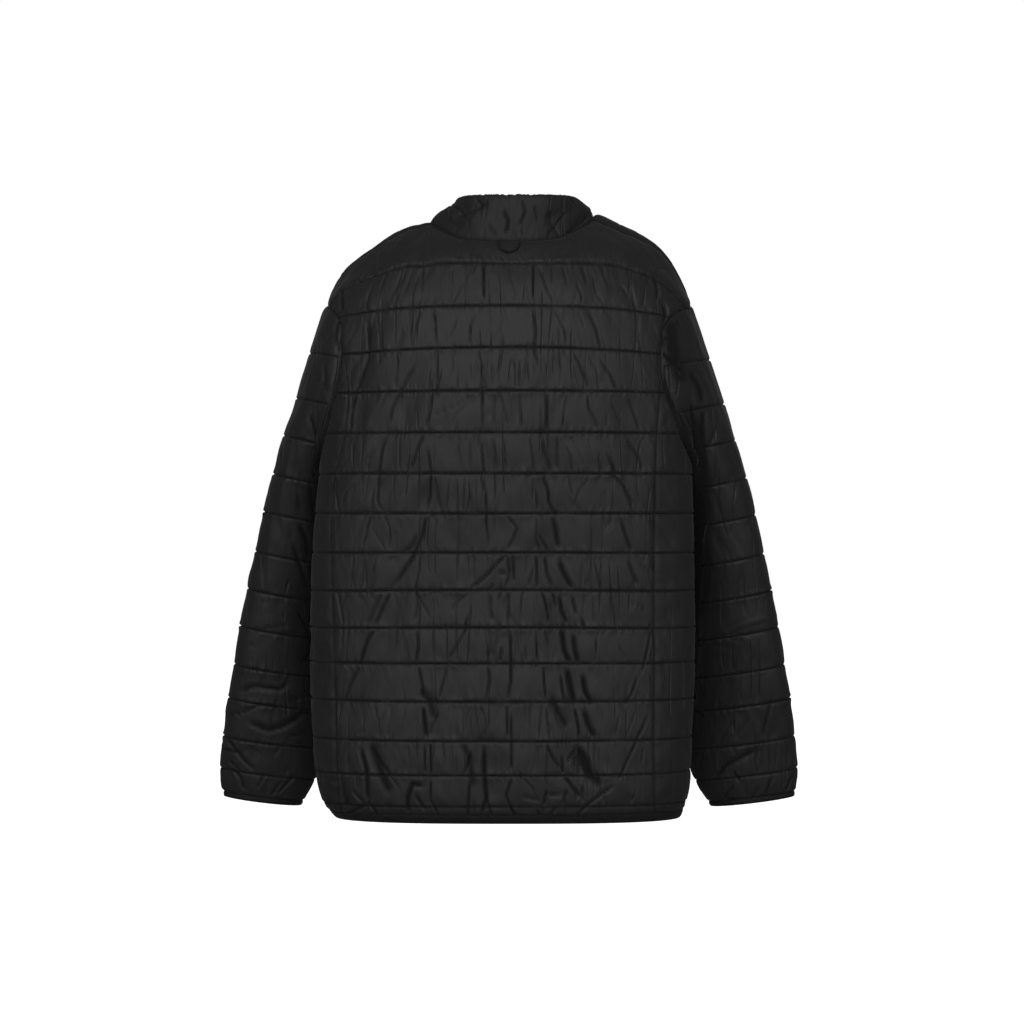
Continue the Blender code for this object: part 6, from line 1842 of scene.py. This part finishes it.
def studFinish():
    finish = Finish("black_matt_stud", {"Specular IOR Level": 0.4})
    worn = finish.spots(220.0, 4.0, 0.6)
    colour = finish.blend(worn, (0.006, 0.006, 0.0064, 1), (0.013, 0.013, 0.0138, 1))
    finish.output("Base Color", colour)
    finish.output("Roughness", (worn - 0.5) * 0.16 + 0.44)
    finish.output("Normal", finish.bump(worn, 0.2, 0.0002))
    return finish.material


materials = {
    "shell": shellFinish(),
    "binding": bindingFinish(),
    "thread": threadFinish(),
    "stud": studFinish(),
}
print("finishes made")


# The jacket


def dress(piece, slot, *nodes):
    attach(piece, "root")
    if nodes:
        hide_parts(*nodes)


back, backRuns = backPanel()
dress(back, "shell", "back")
print("back made")
fronts, frontRuns, sleeves, sleeveRuns, cuffs = {}, {}, {}, {}, {}
for sideName in sideOf:
    fronts[sideName], frontRuns[sideName] = frontPanel(sideName)
    dress(fronts[sideName], "shell", "front_" + sideName)
    sleeves[sideName], sleeveRuns[sideName] = sleeve(sideName)
    dress(sleeves[sideName], "shell", "sleeve_" + sideName)
    cuffs[sideName] = cuffBinding(sideName)
    dress(cuffs[sideName], "binding", "cuff_binding_" + sideName)
    print("front, sleeve and cuff made:", sideName)
collar, collarRuns = collarPiece()
dress(collar, "shell", "collar")
dress(neckTape(), "binding", "neck_tape")
hem = hemBinding()
dress(hem, "binding", "hem_binding")
bpy.context.view_layer.update()
dress(hangLoop(back), "binding", "hang_loop")
dress(stud("stud_cap_collar", collar, studShape["collarLevel"]), "stud", "stud_collar")
for k, level in enumerate(studShape["levels"]):
    number = str(k + 1)
    dress(stud("stud_cap_" + number, fronts["left"], level), "stud", "stud_" + number)
print("collar, hem and studs made")
dress(stitches("stitches_back", backRuns + labelRows(back)), "shell")
dress(stitches("stitches_collar", collarRuns), "shell")
for sideName in sideOf:
    dress(stitches("stitches_front_" + sideName, frontRuns[sideName]), "shell")
    dress(stitches("stitches_sleeve_" + sideName, sleeveRuns[sideName]), "shell")
print("stitches made")


# Floor, light and camera

studio = {
    "floorLevel": -0.80,
    "floorReach": 6.0,
    "lens": 84.4,
    "sensor": 36.0,
    "surround": 0.09,  # how bright the white world is for everything but the camera
    "aim": (0.0, 0.0, -0.30),
    "lights": (  # name, place, size, power
        ("key", (-0.2, -2.7, 0.85), 3.6, 83.0),
        ("fill", (2.3, -2.4, -0.3), 1.6, 13.0),
        ("left", (-2.5, -2.2, -0.4), 1.6, 7.0),
        ("front", (0.2, 3.0, 0.0), 2.4, 5.0),
    ),
}


def areaLight(name, place, size, power):
    light = bpy.data.lights.new(name, "AREA")
    light.shape, light.size, light.energy = "DISK", size, power
    lamp = bpy.data.objects.new(name, light)
    lamp.location = place
    way = Vector(studio["aim"]) - Vector(place)
    lamp.rotation_euler = way.to_track_quat("-Z", "Y").to_euler()
    bpy.context.scene.collection.objects.link(lamp)


def setStudio():
    scene = bpy.context.scene
    mesh = bpy.data.meshes.new("floor")
    corners = [(x * studio["floorReach"], y * studio["floorReach"], studio["floorLevel"])
               for x, y in ((-1, -1), (1, -1), (1, 1), (-1, 1))]
    mesh.from_pydata(corners, [], [(0, 1, 2, 3)])
    floor = bpy.data.objects.new("floor", mesh)
    scene.collection.objects.link(floor)
    finish = Finish("pale_floor", {"Emission Strength": 1.0, "Specular IOR Level": 0.0})
    tone = finish.spots(3.0, 2.0)
    finish.output("Base Color", finish.blend(tone, (0.90, 0.90, 0.90, 1), (0.94, 0.94, 0.94, 1)))
    finish.output("Emission Color", (1.0, 1.0, 1.0, 1.0))
    finish.output("Roughness", tone * 0.1 + 0.8)
    mesh.materials.append(finish.material)
    floor.visible_diffuse = floor.visible_glossy = False
    for light in studio["lights"]:
        areaLight(*light)
    world = bpy.data.worlds.new("studio")
    world.use_nodes = True
    scene.world = world
    tree = world.node_tree
    background = tree.nodes["Background"]
    background.inputs["Color"].default_value = (1.0, 1.0, 1.0, 1.0)
    path = tree.nodes.new("ShaderNodeLightPath")
    strength = tree.nodes.new("ShaderNodeMapRange")
    strength.inputs["To Min"].default_value = studio["surround"]
    strength.inputs["To Max"].default_value = 1.0
    tree.links.new(path.outputs["Is Camera Ray"], strength.inputs["Value"])
    tree.links.new(strength.outputs["Result"], background.inputs["Strength"])
    scene.view_settings.view_transform = "Standard"
    camera = bpy.data.cameras.new("camera")
    camera.lens, camera.sensor_width = studio["lens"], studio["sensor"]
    view = bpy.data.objects.new("camera", camera)
    view.location = (pictureFrom["out"], -pictureFrom["distance"], pictureFrom["level"])
    view.rotation_euler = (math.pi / 2, 0.0, 0.0)
    scene.collection.objects.link(view)
    scene.camera = view


setStudio()
print("studio made")
